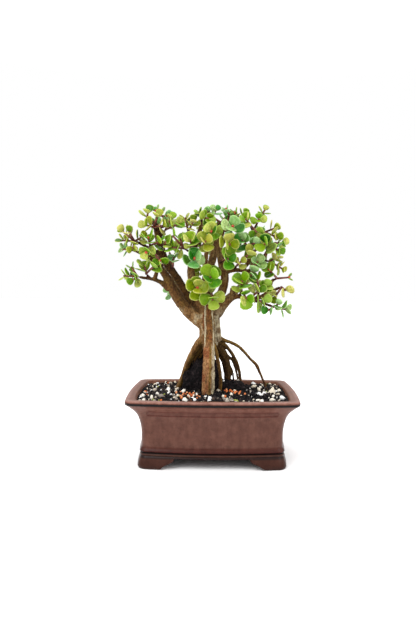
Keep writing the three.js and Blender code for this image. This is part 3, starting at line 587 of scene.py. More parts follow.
def strew(name, seed, material, shape=(8, 6), rough=0.3):
    """One piece that holds every grain of a kind, gathered block by block."""
    gathered = bmesh.new()
    draw = random_numbers(seed + 1)
    sunk = SCATTER[name][3]
    places = sow(name, seed)
    for first in range(0, len(places), BLOCK):
        bm = bmesh.new()
        tone = bm.verts.layers.float.new("tone")
        for x, y, size in places[first:first + BLOCK]:
            add_lump(bm, (x, y, ground(x, y) + size * (PERCH - sunk)), size, draw, tone, shape, rough)
        bmesh.ops.recalc_face_normals(bm, faces=bm.faces)
        block = as_mesh(name, bm)
        gathered.from_mesh(block)
        bpy.data.meshes.remove(block)
    dress(in_the_frame(name, gathered), material, "potting_mix")


def grain_material(name, shades, settings, size, relief):
    """A matt grain whose shade differs from one to the next and is flecked within each."""
    material, shader = new_material(name, settings)
    flecks = clouds(material, size, 4, 0.7)
    fleck = reckon(material, "MULTIPLY_ADD", flecks, 0.5, -0.25)
    tone = reckon(material, "ADD", attribute(material, "tone"), fleck)
    feed(shader, {
        "Base Color": shade_by(material, tone, *shades), "Normal": emboss(material, flecks, 0.5, relief),
    })
    return material


# Composted bark in bits: near black, a few of them brown.
bark_bit = grain_material(
    "composted_bark", [(0, "#0c090a"), (0.6, "#1a1517"), (0.85, "#2d2526"), (1, "#4d3e36")],
    {"Roughness": 0.85, "Specular IOR Level": 0.2}, 2 * MM, 0.5 * MM,
)
strew("bark_crumbs", 11, bark_bit, (5, 4), 0.45)

# Perlite, a volcanic glass popped by heat: white and full of pits, with some grains stained.
perlite = grain_material(
    "expanded_perlite",
    [(0, "#6f665e"), (0.2, "#b4a99c"), (0.4, "#dccfb8"), (0.6, "#ebe4d6"), (0.85, "#f0f0ee"), (1, "#f6f5f3")],
    {"Roughness": 0.8, "Specular IOR Level": 0.35}, 1.4 * MM, 0.5 * MM,
)
strew("perlite", 23, perlite, (7, 5), 0.62)

# Broken low-fired clay: orange, dull and dusty.
clay_bit = grain_material(
    "broken_clay", [(0, "#b4582c"), (0.5, "#dc7a42"), (1, "#f0a878")],
    {"Roughness": 0.85, "Specular IOR Level": 0.3}, 1.2 * MM, 0.3 * MM,
)
strew("clay_bits", 37, clay_bit, (6, 5), 0.5)

# Moss that has taken on a few crumbs: yellow-green, soft and without gloss.
moss = grain_material(
    "moss", [(0, "#6f7a30"), (0.5, "#8f9a3e"), (1, "#b5b66a")],
    {"Roughness": 0.95, "Specular IOR Level": 0.2}, 0.8 * MM, 0.5 * MM,
)
strew("moss_bits", 51, moss, (6, 5), 0.5)

# ---- the tree --------------------------------------------------------------------------------
# A trunk on stilt roots with its branches and woody twigs, one growth of dwarf jade wood. Its
# soft stems have corked over, with a ring at each old pair of leaves and ridges down the trunk.
# Each limb is points of [x, y, height, radius] along its middle.
ROOTS = {
    "front": [[-6, 2, 193, 4], [-6, -3, 182, 5.5], [-5, -6, 161, 6.2], [-5, -7, 139, 7], [-5, -8, 110, 7.4],
        [-6, -8, 82, 8], [-6, -8, 70, 8]],
    "left": [[-12, 8, 148, 5], [-19, 8, 139, 5.2], [-26, 11, 127, 4.8], [-33, 17, 113, 4.2],
        [-39, 24, 95, 3.8], [-46, 30, 77, 3.6], [-48, 32, 68, 3.6]],
    "short": [[-8, 10, 147, 4.5], [-14, 15, 135, 3.8], [-18, 20, 121, 3.4], [-21, 25, 106, 3]],
    "right_long": [[5, 6, 150, 3], [12, 9, 145, 2.8], [23, 12, 141, 2.1], [34, 15, 135, 2], [42, 17, 127, 2],
        [50, 20, 118, 1.9], [58, 22, 110, 2.2], [64, 23, 97, 1.6], [70, 24, 84, 1.5], [74, 24, 71, 1.5]],
    "right_arch": [[3, 10, 145, 4], [11, 15, 140, 3.4], [19, 22, 133, 2.5], [28, 30, 120, 2.1],
        [34, 36, 107, 2], [37, 40, 93, 2], [39, 42, 77, 2], [40, 42, 68, 2]],
    "dark": [[-1, 12, 144, 6], [7, 19, 134, 6.2], [15, 27, 119, 6], [19, 32, 104, 5.2], [20, 34, 89, 4.6],
        [20, 34, 70, 4.2]],
    "thin": [[11, 23, 128, 2.4], [25, 32, 116, 1.6], [31, 35, 102, 1.5], [34, 33, 88, 1.5],
        [35, 31, 70, 1.5]],
    "inner_right": [[-1, 3, 142, 3.4], [4, 2, 129, 2.6], [7, 3, 115, 2.2], [10, 6, 97, 2.2], [10, 8, 80, 2.4],
        [10, 9, 68, 2.4]],
    "back": [[-3, 18, 146, 6], [-2, 27, 134, 4.6], [-1, 38, 116, 3.6], [1, 50, 95, 3.2], [1, 54, 70, 3]],
    "back_left": [[-11, 16, 146, 5], [-18, 25, 133, 4], [-25, 40, 113, 3], [-31, 52, 92, 2.6],
        [-33, 54, 70, 2.6]],
}
BRANCHES = {
    "trunk": [[-5, 9, 132, 8], [-5, 9, 142, 12], [-6, 8, 156, 12.5], [-7, 8, 172, 13], [-7, 9, 187, 10]],
    "side_column": [[5, 3, 183, 3], [5, 2, 171, 3.6], [6, 2, 157, 4], [7, 4, 143, 4]],
    "left": [[-12, 8, 163, 7.5], [-22, 6, 173, 8.8], [-31, 4, 181, 8.2], [-43, 2, 195, 7.4],
        [-53, 0, 211, 6.4], [-61, -2, 226, 5], [-70, -4, 239, 3.8], [-79, -6, 249, 2.9], [-89, -8, 254, 2.2],
        [-100, -9, 259, 1.7]],
    "left_low": [[-58, -1, 210, 4], [-66, -4, 218, 3.1], [-74, -7, 222, 2.4], [-82, -10, 224, 2],
        [-91, -13, 225, 1.8]],
    "left_stub": [[-76, -8, 222, 2.6], [-74, -9, 228, 2.7], [-73, -10, 233, 2.4]],
    "left_high": [[-11, 12, 179, 6], [-22, 14, 185, 5.6], [-31, 15, 196, 5.4], [-38, 14, 208, 5.3],
        [-45, 12, 220, 5.2], [-54, 9, 233, 5], [-63, 6, 246, 4.7], [-68, 4, 261, 4.6], [-72, 2, 275, 4.8],
        [-74, 0, 288, 4.4], [-78, -2, 297, 3]],
    "left_side": [[-65, 5, 250, 3.4], [-72, 2, 257, 2.8], [-81, -2, 261, 2.3], [-89, -6, 266, 1.9],
        [-97, -8, 270, 1.7]],
    "centre_left": [[-10, 5, 182, 7], [-18, 3, 196, 6.6], [-24, 1, 211, 6], [-29, 0, 227, 5.2],
        [-29, 1, 242, 4.4], [-27, 2, 258, 3.6], [-22, 3, 275, 3.3], [-18, 3, 289, 2.8], [-17, 3, 297, 2.2]],
    "centre": [[-6, 11, 185, 7], [-9, 13, 204, 6.4], [-9, 15, 226, 6], [-3, 17, 246, 5.2], [1, 18, 264, 4.6],
        [1, 18, 280, 3.6], [0, 17, 295, 2.6], [-1, 17, 303, 2]],
    "centre_right": [[-2, 6, 182, 7], [6, 3, 198, 6.2], [13, 1, 214, 5.4], [14, 1, 229, 5.2],
        [10, 3, 245, 4.6], [7, 5, 261, 4.4], [8, 5, 275, 3.6], [12, 3, 289, 2.6], [18, 1, 301, 1.9]],
    "right": [[-2, 8, 174, 7], [6, 6, 182, 7.6], [15, 4, 193, 6], [24, 1, 201, 4.8], [32, -4, 202, 3],
        [39, -8, 200, 2.3], [52, -10, 197, 2], [63, -10, 194, 1.8], [72, -10, 191, 1.6]],
    "right_knob": [[23, 1, 198, 3.6], [24, -1, 209, 2.8], [24, -2, 213, 2.6]],
    "right_low": [[43, -8, 199, 2.1], [56, -4, 200, 2.4], [68, 0, 205, 3], [73, 2, 215, 2.8],
        [76, 3, 223, 2.1]],
    "right_stub": [[71, 0, 209, 2.2], [77, -2, 210, 1.9], [83, -4, 213, 1.7]],
    "right_middle": [[12, 1, 233, 4], [23, -2, 236, 3.2], [33, -3, 236, 2.6], [43, -1, 235, 2.2],
        [53, 1, 239, 2.2], [61, 3, 246, 2.5], [67, 5, 256, 2.3], [72, 6, 266, 1.8]],
    "right_high": [[35, -3, 236, 2.2], [44, 3, 245, 2.7], [48, 7, 260, 2.8], [51, 9, 274, 2.5],
        [51, 10, 287, 2]],
    "back_left": [[-9, 14, 172, 6], [-20, 26, 184, 5], [-35, 36, 200, 4.2], [-49, 44, 218, 3.4],
        [-58, 50, 238, 2.8], [-60, 52, 256, 2.2]],
    "back_right": [[0, 14, 180, 6], [12, 26, 192, 5.2], [26, 36, 204, 4.4], [40, 44, 218, 3.4],
        [50, 48, 234, 2.8], [55, 48, 252, 2.2]],
    "back_centre": [[-7, 16, 205, 4.5], [-10, 32, 222, 4], [-12, 42, 242, 3.4], [-10, 48, 262, 2.8],
        [-6, 48, 280, 2.2]],
}
# A spray grows from a woody twig: the foot of the twig and its blunt end, then the tip of each green
# shoot as [x, y, height, leaf length, pairs of leaves, turn of the first pair in degrees].
SHOOTS = {
    "left_low": [[-91, -13, 225], [-95, -14, 226], [-112, -18, 227, 11, 4, 90], [-100, -22, 223, 11, 2, 20],
        [-103, -20, 237, 10, 2, 60]],
    "left_low_inner": [[-81, -9, 224], [-85, -12, 229], [-87, -17, 239, 15, 2, 0],
        [-76, -20, 239, 12, 2, 40]],
    "left_twig": [[-100, -9, 259], [-105, -10, 260], [-115, -12, 261, 10, 2, 40]],
    "left_tip": [[-97, -8, 270], [-100, -9, 271], [-115, -14, 272, 12, 3, 60], [-117, -8, 284, 12, 3, 20],
        [-92, -16, 276, 11, 2, 40], [-102, -18, 263, 11, 2, 10], [-106, -22, 281, 12, 3, 80]],
    "left_inner": [[-81, -2, 261], [-81, -14, 265], [-82, -24, 274, 14, 3, 30], [-70, -22, 270, 13, 2, 0],
        [-68, -24, 247, 14, 1, 30], [-84, -28, 257, 12, 2, 60]],
    "top_left_outer": [[-78, -2, 297], [-85, -5, 301], [-85, -9, 308, 12, 3, 60]],
    "top_left_inner": [[-77, -1, 294], [-73, -2, 304], [-75, -3, 311, 10, 2, 10], [-63, -8, 304, 11, 2, 50]],
    "top_left_front": [[-75, 0, 285], [-77, -10, 289], [-85, -18, 291, 12, 3, 10], [-64, -16, 291, 12, 2, 0],
        [-72, -20, 302, 12, 2, 40]],
    "left_high_right": [[-72, 2, 275], [-63, -6, 286], [-55, -14, 300, 12, 3, 30],
        [-46, -22, 292, 13, 2, 60]],
    "left_curved": [[-68, 4, 261], [-65, -12, 264], [-60, -28, 269, 14, 3, 20]],
    "left_gap": [[-56, 8, 236], [-53, -2, 240], [-52, -8, 250, 10, 2, 20]],
    "centre_left_outer": [[-22, 3, 275], [-32, -2, 284], [-37, -6, 301, 11, 3, 30],
        [-27, -14, 296, 11, 3, 70]],
    "centre_left_low": [[-28, 2, 257], [-37, -14, 262], [-51, -25, 263, 13, 3, 80],
        [-42, -24, 273, 12, 2, 30], [-50, -34, 276, 12, 2, 10]],
    "centre_pale": [[-25, 2, 262], [-27, -16, 263], [-29, -33, 271, 14, 3, 10]],
    "centre_round": [[-29, 1, 242], [-27, -16, 245], [-24, -35, 249, 15, 3, 0]],
    "centre_bluish": [[-22, 3, 275], [-16, -12, 266], [-11, -31, 270, 13, 3, 30]],
    "centre_top_pale": [[1, 18, 280], [0, -6, 282], [-3, -27, 283, 13, 3, 0]],
    "top_centre_left": [[-17, 3, 297], [-16, 1, 302], [-19, -2, 309, 10, 3, 20], [-8, -15, 301, 11, 3, 70]],
    "top_centre": [[-1, 17, 303], [-1, 14, 308], [2, 8, 314, 9.5, 3, 20], [-8, 2, 311, 9.5, 3, 60]],
    "front_low_left": [[-24, 1, 211], [-25, -16, 212], [-20, -35, 213, 15, 3, 80]],
    "front_centre": [[-9, 14, 223], [-8, -12, 224], [-4, -36, 226, 16, 3, 30]],
    "front_low_right": [[-9, 12, 207], [-3, -12, 208], [-1, -30, 199, 15, 3, 90]],
    "front_pale": [[12, 3, 287], [21, -16, 285], [23, -34, 289, 16, 3, 70]],
    "front_olive": [[8, 5, 275], [12, -16, 273], [19, -35, 267, 15, 3, 10]],
    "centre_right_round": [[8, 3, 246], [12, -14, 248], [17, -31, 249, 14, 2, 0]],
    "top_right_fork": [[12, 3, 289], [31, 6, 301], [40, 6, 311, 9.5, 3, 0], [27, 2, 310, 10, 2, 50]],
    "red_tip": [[18, 1, 301], [19, 0, 306], [16, -3, 314, 8, 2, 40]],
    "right_gap": [[25, -2, 236], [29, -12, 241], [33, -24, 245, 11, 2, 20], [43, -24, 255, 14, 2, 60]],
    "right_big": [[33, -5, 202], [35, -16, 209], [35, -34, 221, 15, 3, 50], [40, -36, 201, 15, 2, 10]],
    "right_low_front": [[39, -8, 200], [44, -17, 199], [61, -31, 197, 15, 3, 20], [55, -30, 209, 14, 2, 0]],
    "right_low_tip": [[72, -10, 191], [76, -10, 190], [92, -12, 186, 11, 2, 30], [70, -22, 186, 12, 1, 0],
        [80, -20, 192, 11, 2, 50]],
    "right_stub": [[83, -4, 213], [86, -5, 214], [91, -11, 211, 14, 2, 30], [79, -14, 203, 12, 2, 70]],
    "right_middle_tip": [[76, 3, 223], [81, 2, 225], [97, 0, 227, 8, 1, 80], [71, -12, 236, 12, 3, 20]],
    "right_inner": [[56, -4, 200], [58, -12, 208], [54, -27, 223, 14, 3, 20], [65, -22, 214, 12, 2, 60]],
    "right_bluish": [[49, 0, 237], [50, -12, 239], [47, -27, 229, 13, 2, 0], [54, -25, 245, 13, 2, 50]],
    "right_far": [[63, 4, 249], [71, 0, 248], [88, -6, 238, 9, 4, 20], [81, -2, 253, 10, 2, 70]],
    "right_round": [[71, 6, 265], [71, -7, 268], [64, -24, 268, 16, 2, 40], [82, -16, 261, 10, 2, 10]],
    "right_edge": [[72, 6, 266], [78, 5, 271], [88, 0, 271, 11, 3, 30]],
    "right_figure": [[48, 7, 260], [43, -6, 267], [36, -23, 272, 13, 3, 85], [50, -19, 269, 12, 2, 30]],
    "top_right": [[51, 10, 283], [65, 8, 286], [79, 4, 291, 11, 2, 20], [67, -9, 277, 13, 2, 60],
        [79, -8, 279, 12, 2, 20]],
    "top_right_peak": [[51, 10, 287], [57, 9, 299], [66, 5, 315, 9.5, 3, 30], [57, -7, 301, 10, 2, 80]],
    "top_right_inner": [[51, 10, 287], [47, 0, 294], [41, -13, 300, 12, 3, 10], [53, -16, 285, 12, 2, 50]],
    "back_left_low": [[-35, 36, 200], [-46, 44, 204], [-62, 54, 206, 11, 3, 20], [-52, 58, 214, 11, 2, 60]],
    "back_left_middle": [[-58, 50, 238], [-68, 54, 242], [-82, 50, 248, 11, 3, 40], [-66, 68, 244, 11, 2, 0]],
    "back_left_tip": [[-60, 52, 256], [-62, 53, 262], [-66, 58, 280, 11, 3, 20], [-52, 64, 272, 11, 3, 70]],
    "back_left_side": [[-63, 6, 246], [-72, 20, 250], [-84, 32, 256, 11, 3, 30], [-74, 32, 270, 11, 2, 60]],
    "back_left_top": [[-74, 0, 288], [-68, 12, 292], [-58, 26, 300, 11, 3, 30], [-78, 24, 298, 11, 2, 0]],
    "back_low": [[-12, 42, 242], [-14, 54, 238], [-24, 70, 236, 11, 3, 10], [-4, 68, 232, 11, 2, 60]],
    "back_middle": [[-10, 48, 262], [-14, 58, 266], [-28, 66, 274, 11, 3, 40], [-4, 72, 268, 11, 3, 0]],
    "back_tip": [[-6, 48, 280], [-5, 50, 286], [-16, 56, 300, 11, 3, 20], [10, 54, 296, 11, 3, 60]],
    "back_top": [[0, 17, 295], [8, 26, 300], [18, 36, 312, 9, 3, 20], [-8, 34, 312, 9, 2, 60]],
    "back_right_low": [[40, 44, 218], [50, 52, 214], [66, 58, 212, 11, 3, 10], [44, 66, 222, 11, 2, 60]],
    "back_right_middle": [[50, 48, 234], [60, 50, 240], [76, 46, 246, 11, 3, 30], [58, 66, 250, 11, 2, 70]],
    "back_right_tip": [[55, 48, 252], [56, 48, 258], [60, 52, 278, 11, 3, 10], [38, 60, 268, 11, 3, 50]],
    "back_right_side": [[48, 7, 260], [58, 20, 264], [76, 28, 270, 11, 3, 30], [62, 30, 290, 11, 3, 0]],
}
TWIG = {"foot": 1.7, "end": 1.25}
FINE_ROOTS = {
    "forked": [[21, 32, 109, 1.6], [26, 33, 101, 1.3], [28, 34, 90, 1.2], [29, 34, 76, 1.2]],
    "inner_left": [[-12, 8, 140, 3], [-18, 12, 129, 2.3], [-23, 15, 120, 1.9], [-26, 18, 109, 1.7]],
}
VOXEL = 0.85 * MM

twigs = {name: [[*foot, TWIG["foot"]], [*end, TWIG["end"]]] for name, (foot, end, *_) in SHOOTS.items()}
roots = {f"root_{name}": points for name, points in {**ROOTS, **FINE_ROOTS}.items()}
limbs = {**roots, **BRANCHES}
wood_lines = bpy.data.curves.new("wood_lines", "CURVE")
wood_lines.dimensions = "3D"
wood_lines.bevel_depth = 1
wood_lines.bevel_resolution = 3
wood_lines.use_fill_caps = True
samples = []
for name, points in [*limbs.items(), *((f"twig_{name}", points) for name, points in twigs.items())]:
    line = flowing(points, 6)
    spline = wood_lines.splines.new("POLY")
    spline.points.add(len(line) - 1)
    run, side = 0, Vector((0.3, 1, 0.2))
    for number, (x, y, z, radius) in enumerate(line):
        spline.points[number].co = (x, y, z, 1)
        spline.points[number].radius = radius + 0.12
        before, after = Vector(line[max(number - 1, 0)][:3]), Vector(line[min(number + 1, len(line) - 1)][:3])
        way = (after - before).normalized()
        side = (side - way * side.dot(way)).normalized()
        run += (Vector((x, y, z)) - Vector(line[max(number - 1, 0)][:3])).length
        samples.append((name, Vector((x, y, z)), radius, run, side.copy(), way.cross(side)))

rough_wood = in_the_scene("rough_wood", wood_lines)
bpy.context.view_layer.update()
shape = bpy.data.meshes.new_from_object(rough_wood.evaluated_get(bpy.context.evaluated_depsgraph_get()))
bpy.data.objects.remove(rough_wood)
wood = bmesh.new()
wood.from_mesh(shape)
bmesh.ops.recalc_face_normals(wood, faces=wood.faces)
tree = in_the_frame("tree_wood", wood)
one_skin = tree.modifiers.new("one skin", "REMESH")
one_skin.mode = "VOXEL"
one_skin.voxel_size = VOXEL
settle(tree)

# The skin is brought back to millimetres to be shaped, each point by the limb that it lies on.
wood = bmesh.new()
wood.from_mesh(tree.data)
bpy.data.objects.remove(tree)
bmesh.ops.transform(wood, matrix=Matrix.Translation(-STAND) @ Matrix.Scale(1 / MM, 4), verts=wood.verts)
for _ in range(3):
    bmesh.ops.smooth_vert(
        wood, verts=wood.verts, factor=0.5, use_axis_x=True, use_axis_y=True, use_axis_z=True
    )
wood.normal_update()
nearby = kdtree.KDTree(len(samples))
for number, sample in enumerate(samples):
    nearby.insert(sample[1], number)
nearby.balance()

# Colours of dwarf jade bark: tan cork on the trunk, red-brown where it is young or flaked, cream
# and grey on the ridges, olive where algae grow, and maroon on this year's wood. Over them goes
# painted light by the way the bark faces: tan as a painted highlight on faces turned up and to the
# key lamp, and dark and olive as painted shade on undersides and far sides and over the back roots.
CORK_AND_HIGHLIGHT, PALE_CORK, RUST, CREAM, OLIVE, GREY = map(
    colour, ("#b08c5e", "#ba8f62", "#9a5632", "#d6d0b2", "#8c7230", "#b3a68a")
)
BROWN, DARK, MAROON, UNDERSIDE_SHADE, TAN = map(colour, ("#80592c", "#3a260f", "#5c2a28", "#2a1c10", "#a08860"))


def coat(base, *coats):
    """A base with colours laid over it in turn, each by its share."""
    for over, share in coats:
        share = min(max(share, 0), 1)
        base = tuple(a + (b - a) * share for a, b in zip(base, over))
    return base


def ramp(value, low, high):
    """0 below low, 1 above high, and even between them."""
    return min(max((value - low) / (high - low), 0), 1)


def bark_shade(name, spot, girth, run, front, normal):
    """The bark's colour at a spot. front is the angle round the limb from the viewer's side."""
    patch = roughness(spot, 9, 1)
    grain = roughness((spot.x, spot.y, spot.z / 5), 2.2, 2)
    flake = roughness(spot, 3.4, 5)
    # Maroon young wood browns with girth and takes olive patches at random. Tan on the upward faces of older
    # limbs is a painted highlight, and dark on the undersides is painted shade.
    shade = coat(
        MAROON,
        (BROWN, ramp(girth, 1.4, 2.6)),
        (OLIVE, 0.55 * ramp(patch + 0.4 * grain, -0.15, 0.5)),
        (CORK_AND_HIGHLIGHT, 0.65 * ramp(normal.z + 0.4 * grain, 0.1, 0.8) * ramp(girth, 1.8, 3.5)),
        (DARK, 0.65 * ramp(0.5 * grain - normal.z, 0.1, 0.9)),
    )
    # On the left branches, dark on the faces turned from the key lamp is painted shade, and tan on the faces
    # turned to it is a painted highlight.
    if name.startswith("left"):
        away = ramp(normal.x - 0.3 * normal.z, -0.4, 0.4)
        shade = coat(
            shade,
            (DARK, 0.65 * ramp(spot.z, 175, 195) * away),
            (TAN, 0.6 * ramp(-normal.x + 0.4 * grain, 0.5, 0.9)),
        )
    # Tan patches on the centre and right branches fall partly at random and partly on upper faces, where they
    # are a painted highlight.
    if name.startswith(("centre", "right")) and name in BRANCHES:
        shade = coat(shade, (TAN, 0.75 * ramp(0.6 * grain + 0.5 * patch + 0.3 * normal.z, -0.15, 0.45)))
    if name in ("trunk", "side_column") or (name in BRANCHES and spot.z < 190):
        aged = coat(
            CORK_AND_HIGHLIGHT,
            (GREY, ramp(spot.x + 3 * patch, -14, 3)),
            (CREAM, 0.6 * ramp(patch + grain, 0.05, 0.6)),
            (BROWN, 0.6 * ramp(-patch - flake, 0.1, 0.6)),
        )
        shade = coat(shade, (aged, 0.9 * ramp(190 - spot.z, 0, 14)))
    if name == "side_column":
        shade = coat(shade, (CREAM, 0.75 * ramp(patch + 0.6 * grain, -0.45, 0.1)))
    # On the roots, olive on the side away from the key lamp is painted shade, tan on the lamp side and top is
    # a painted highlight, and dark on the undersides is painted shade, with a few dark patches at random.
    if name in roots:
        shade = coat(
            shade,
            (OLIVE, 0.5 * ramp(normal.x + 0.5 * patch, -0.5, 0.4)),
            (CORK_AND_HIGHLIGHT, 0.7 * ramp(-normal.x + 0.4 * normal.z + 0.3 * patch, 0.1, 0.8)),
            (UNDERSIDE_SHADE, 0.6 * ramp(-normal.z, 0, 0.8) + 0.2 * ramp(-grain, 0, 0.5)),
        )
    # The roots at the back are darkened all over with painted shade.
    if name in ("root_dark", "root_thin", "root_back", "root_forked"):
        shade = coat(shade, (DARK, 0.7))
    if name == "root_front":
        rust = ramp(roughness((front * 5, run / 2.5, 0), 6, 4) + 0.5 * grain, -0.25, 0.3)
        low = coat(
            PALE_CORK,
            (RUST, 0.8 * rust * ramp(-front, -0.5, 0)),
            (OLIVE, 0.9 * ramp(front, -0.05, 0.15) * ramp(0.5 - front, 0, 0.2)),
            (CREAM, 0.85 * ramp(front + 0.35 * patch, 0.4, 0.6)),
        )
        ridge = 1 - min(abs(front - 0.95), abs(front + 1.0)) / 0.3
        high = coat(
            BROWN,
            (RUST, 0.5 * rust),
            (OLIVE, 0.5 * ramp(front, 0.3, 0.8)),
            (CREAM, 0.9 * ramp(ridge + 0.4 * grain, 0, 0.55)),
        )
        shade = coat(low, (high, ramp(spot.z + 5 * patch, 137, 145)))
    return coat(shade, (DARK, 0.55 * ramp(-grain - 0.5 * patch, 0.2, 0.65)))


# How far each feature of the bark stands out, in millimetres: on the youngest wood, and what the
# oldest adds. Scars are rings at old pairs of leaves, and flutes and furrows run along the limb.
RELIEF = {
    "scar": (0.34, -0.17), "flute": (0.25, 0.85), "furrow": (0.15, 0.5), "lump": (0.2, 0.5),
    "grain": (0.12, 0),
}
RIDGE = 0.9
tint = wood.verts.layers.float_color.new("tint")
for vert in wood.verts:
    near = nearby.find_n(vert.co, 8)
    number = min(near, key=lambda found: found[2] - samples[found[1]][2])[1]
    name, middle, girth, run, side, over = samples[number]
    off = vert.co - middle
    turn = math.atan2(off.dot(over), off.dot(side))
    front = math.atan2(off.x, -off.y)
    ring_gap = 2.6 + 0.5 * girth
    place = run / ring_gap + 0.5 * noise.noise(Vector((math.cos(turn), math.sin(turn), run / 14)))
    scar = (1 - abs(2 * (place % 1) - 1)) ** 5
    heights = {
        "scar": scar,
        "flute": noise.noise(Vector((1.9 * math.cos(turn), 1.9 * math.sin(turn), run / 34))),
        "furrow": noise.noise(Vector((5 * math.cos(turn), 5 * math.sin(turn), run / 8))),
        "lump": roughness(vert.co, 6, 7),
        "grain": roughness(vert.co, 1.6, 8),
    }
    old = ramp(girth, 2, 8)
    out = sum((young + more * old) * heights[kind] for kind, (young, more) in RELIEF.items())
    if name == "root_front":
        ridge = max(1 - abs(front - 0.95) / 0.3, 1 - abs(front + 1.0) / 0.25 if vert.co.z > 128 else 0, 0)
        out += RIDGE * ridge
    vert[tint] = (*bark_shade(name, vert.co, girth, run, front, vert.normal)[:3], 1)
    vert.co += vert.normal * out

# Bark of a stem succulent: thin cork, dull and dry, finely cracked.
bark, bark_skin = new_material("dwarf_jade_bark", {"Roughness": 0.78, "IOR": 1.45, "Specular IOR Level": 0.2})
cracks = clouds(bark, 1.3 * MM, 6, 0.7, steep=0.4)
specks = clouds(bark, 3 * MM, 5, 0.75)
crack_shade = shade_by(bark, cracks, (0.34, "#6f625c"), (0.48, "#dcd4cc"), (0.66, "#ffffff"))
speck_shade = shade_by(bark, specks, (0.36, "#8d7a6c"), (0.58, "#ffffff"))
cracked = merge(bark, 0.9, attribute(bark, "tint", "Color"), crack_shade)
feed(bark_skin, {
    "Base Color": merge(bark, 0.8, cracked, speck_shade), "Normal": emboss(bark, cracks, 0.6, 0.5 * MM),
})
tree = in_the_frame("tree_wood", wood)
dress(tree, bark, "bark", "tree")

# ---- the sprays of leaves --------------------------------------------------------------------
# Soft shoots with fleshy leaves in crossed pairs. Each spray grows from the blunt end of a woody
# twig and has one to five shoots. Every leaf turns or shrinks until it is clear of its neighbours.
# Lengths are in millimetres. A leaf's round, taper, cup and spacing are shares of its length.
GAP = 0.3
SHOOT = {"base": 1, "tip": 0.85, "neck": 1.4, "first_pair": 1.2, "sides": 7, "swell": 1.5}
LEAF = {
    "thick": 1.5, "plump": 1.9, "round": 0.86, "neck": 0.9, "taper": 0.4, "cup": 0.06, "spacing": 0.42,
    "to_light": 0.25, "kin_overlap": -0.2,
}
# How many pairs of each shoot grow first, then the lift in degrees and the size of each pair from
# the tip down, and the turns, lifts and sizes that a leaf tries in turn.
FIRST_PAIRS = [2, 1, 1, 1, 1]
LIFTS = [48, 26, 14, 6]
SIZES = [0.98, 1.18, 1.1, 0.95]
TURNS_TRIED = [
    (0, 0), (20, 0), (-20, 0), (0, 20), (35, 10), (-35, 10), (0, -20), (20, 30), (-20, 30), (50, 0), (-50, 0),
]
SIZES_TRIED = [1, 0.86, 0.72]
UP, FRONT = Vector((0, 0, 1)), Vector((0, -1, 0))


class Stretch:
    """The room of a straight stretch of wood or stem."""
    def __init__(self, start, end, room, spray, shoot=None):
        self.start, self.run, self.room = start, end - start, room
        self.middle, self.reach = (start + end) / 2, (end - start).length / 2
        self.spray, self.shoot, self.pair = spray, shoot, None

    def nearest(self, point):
        share = (point - self.start).dot(self.run) / self.run.length_squared
        return self.start + self.run * min(max(share, 0), 1)


class Leaf:
    """A leaf, whose room is a flat disc as wide as the blade is long."""
    def __init__(self, root, axis, turn, lift, length, owner):
        level = (UP if abs(axis.z) < 0.9 else FRONT).cross(axis).normalized()
        steep = axis.cross(level)
        out = level * math.cos(turn) + steep * math.sin(turn)
        along = out * math.cos(lift) + axis * math.sin(lift) + UP * LEAF["to_light"] / 2
        self.along = along.normalized()
        face = axis + UP * LEAF["to_light"]
        self.face = (face - self.along * face.dot(self.along)).normalized()
        self.root, self.length = root, length
        self.middle, self.reach = root + self.along * 0.54 * length, 0.47 * length
        self.room = LEAF["thick"] / 2 - 0.1
        self.spray, self.shoot, self.pair = owner

    def nearest(self, point):
        across = point - self.middle
        across = across - self.face * across.dot(self.face)
        reach = across.length
        return self.middle + across * (self.reach / reach if reach > self.reach else 1)

    def clears(self, other):
        kin = other.spray == self.spray
        if kin and other.shoot == self.shoot and (other.pair is None or other.pair == self.pair):
            return True
        room = self.room + other.room + (-LEAF["kin_overlap"] if kin else GAP)
        if (self.middle - other.middle).length - self.reach - other.reach > room:
            return True
        near = self.nearest(other.middle)
        for _ in range(14):
            far = other.nearest(near)
            near = self.nearest(far)
        return (near - far).length > room


taken = []
for points in [*ROOTS.values(), *BRANCHES.values(), *twigs.values()]:
    for start, end in zip(points, points[1:]):
        taken.append(Stretch(Vector(start[:3]), Vector(end[:3]), max(start[3], end[3]), "wood"))
sprays = []
for spray, (foot, end, *tips) in SHOOTS.items():
    out = (Vector(end) - Vector(foot)).normalized()
    start = Vector(end) + out * GAP
    fork = start + out * SHOOT["neck"]
    shoots = []
    for number, (x, y, z, leaf, pairs, turn) in enumerate(tips):
        tip = Vector((x, y, z))
        taken.append(Stretch(fork, tip, SHOOT["base"], spray, number))
        shoots.append((fork, tip, leaf, pairs, turn))
    sprays.append((spray, start, shoots, []))


def grow_leaf(root, axis, turn, lift, length, owner):
    """Tries one leaf in each way until it is clear. A leaf with no room is left out."""
    near = [other for other in taken if (other.middle - root).length < other.reach + 1.1 * length + 6]
    for size in SIZES_TRIED:
        for more_turn, more_lift in TURNS_TRIED:
            turned, lifted = math.radians(turn + more_turn), math.radians(lift + more_lift)
            leaf = Leaf(root, axis, turned, lifted, length * size, owner)
            if all(leaf.clears(other) for other in near):
                return leaf
    return None


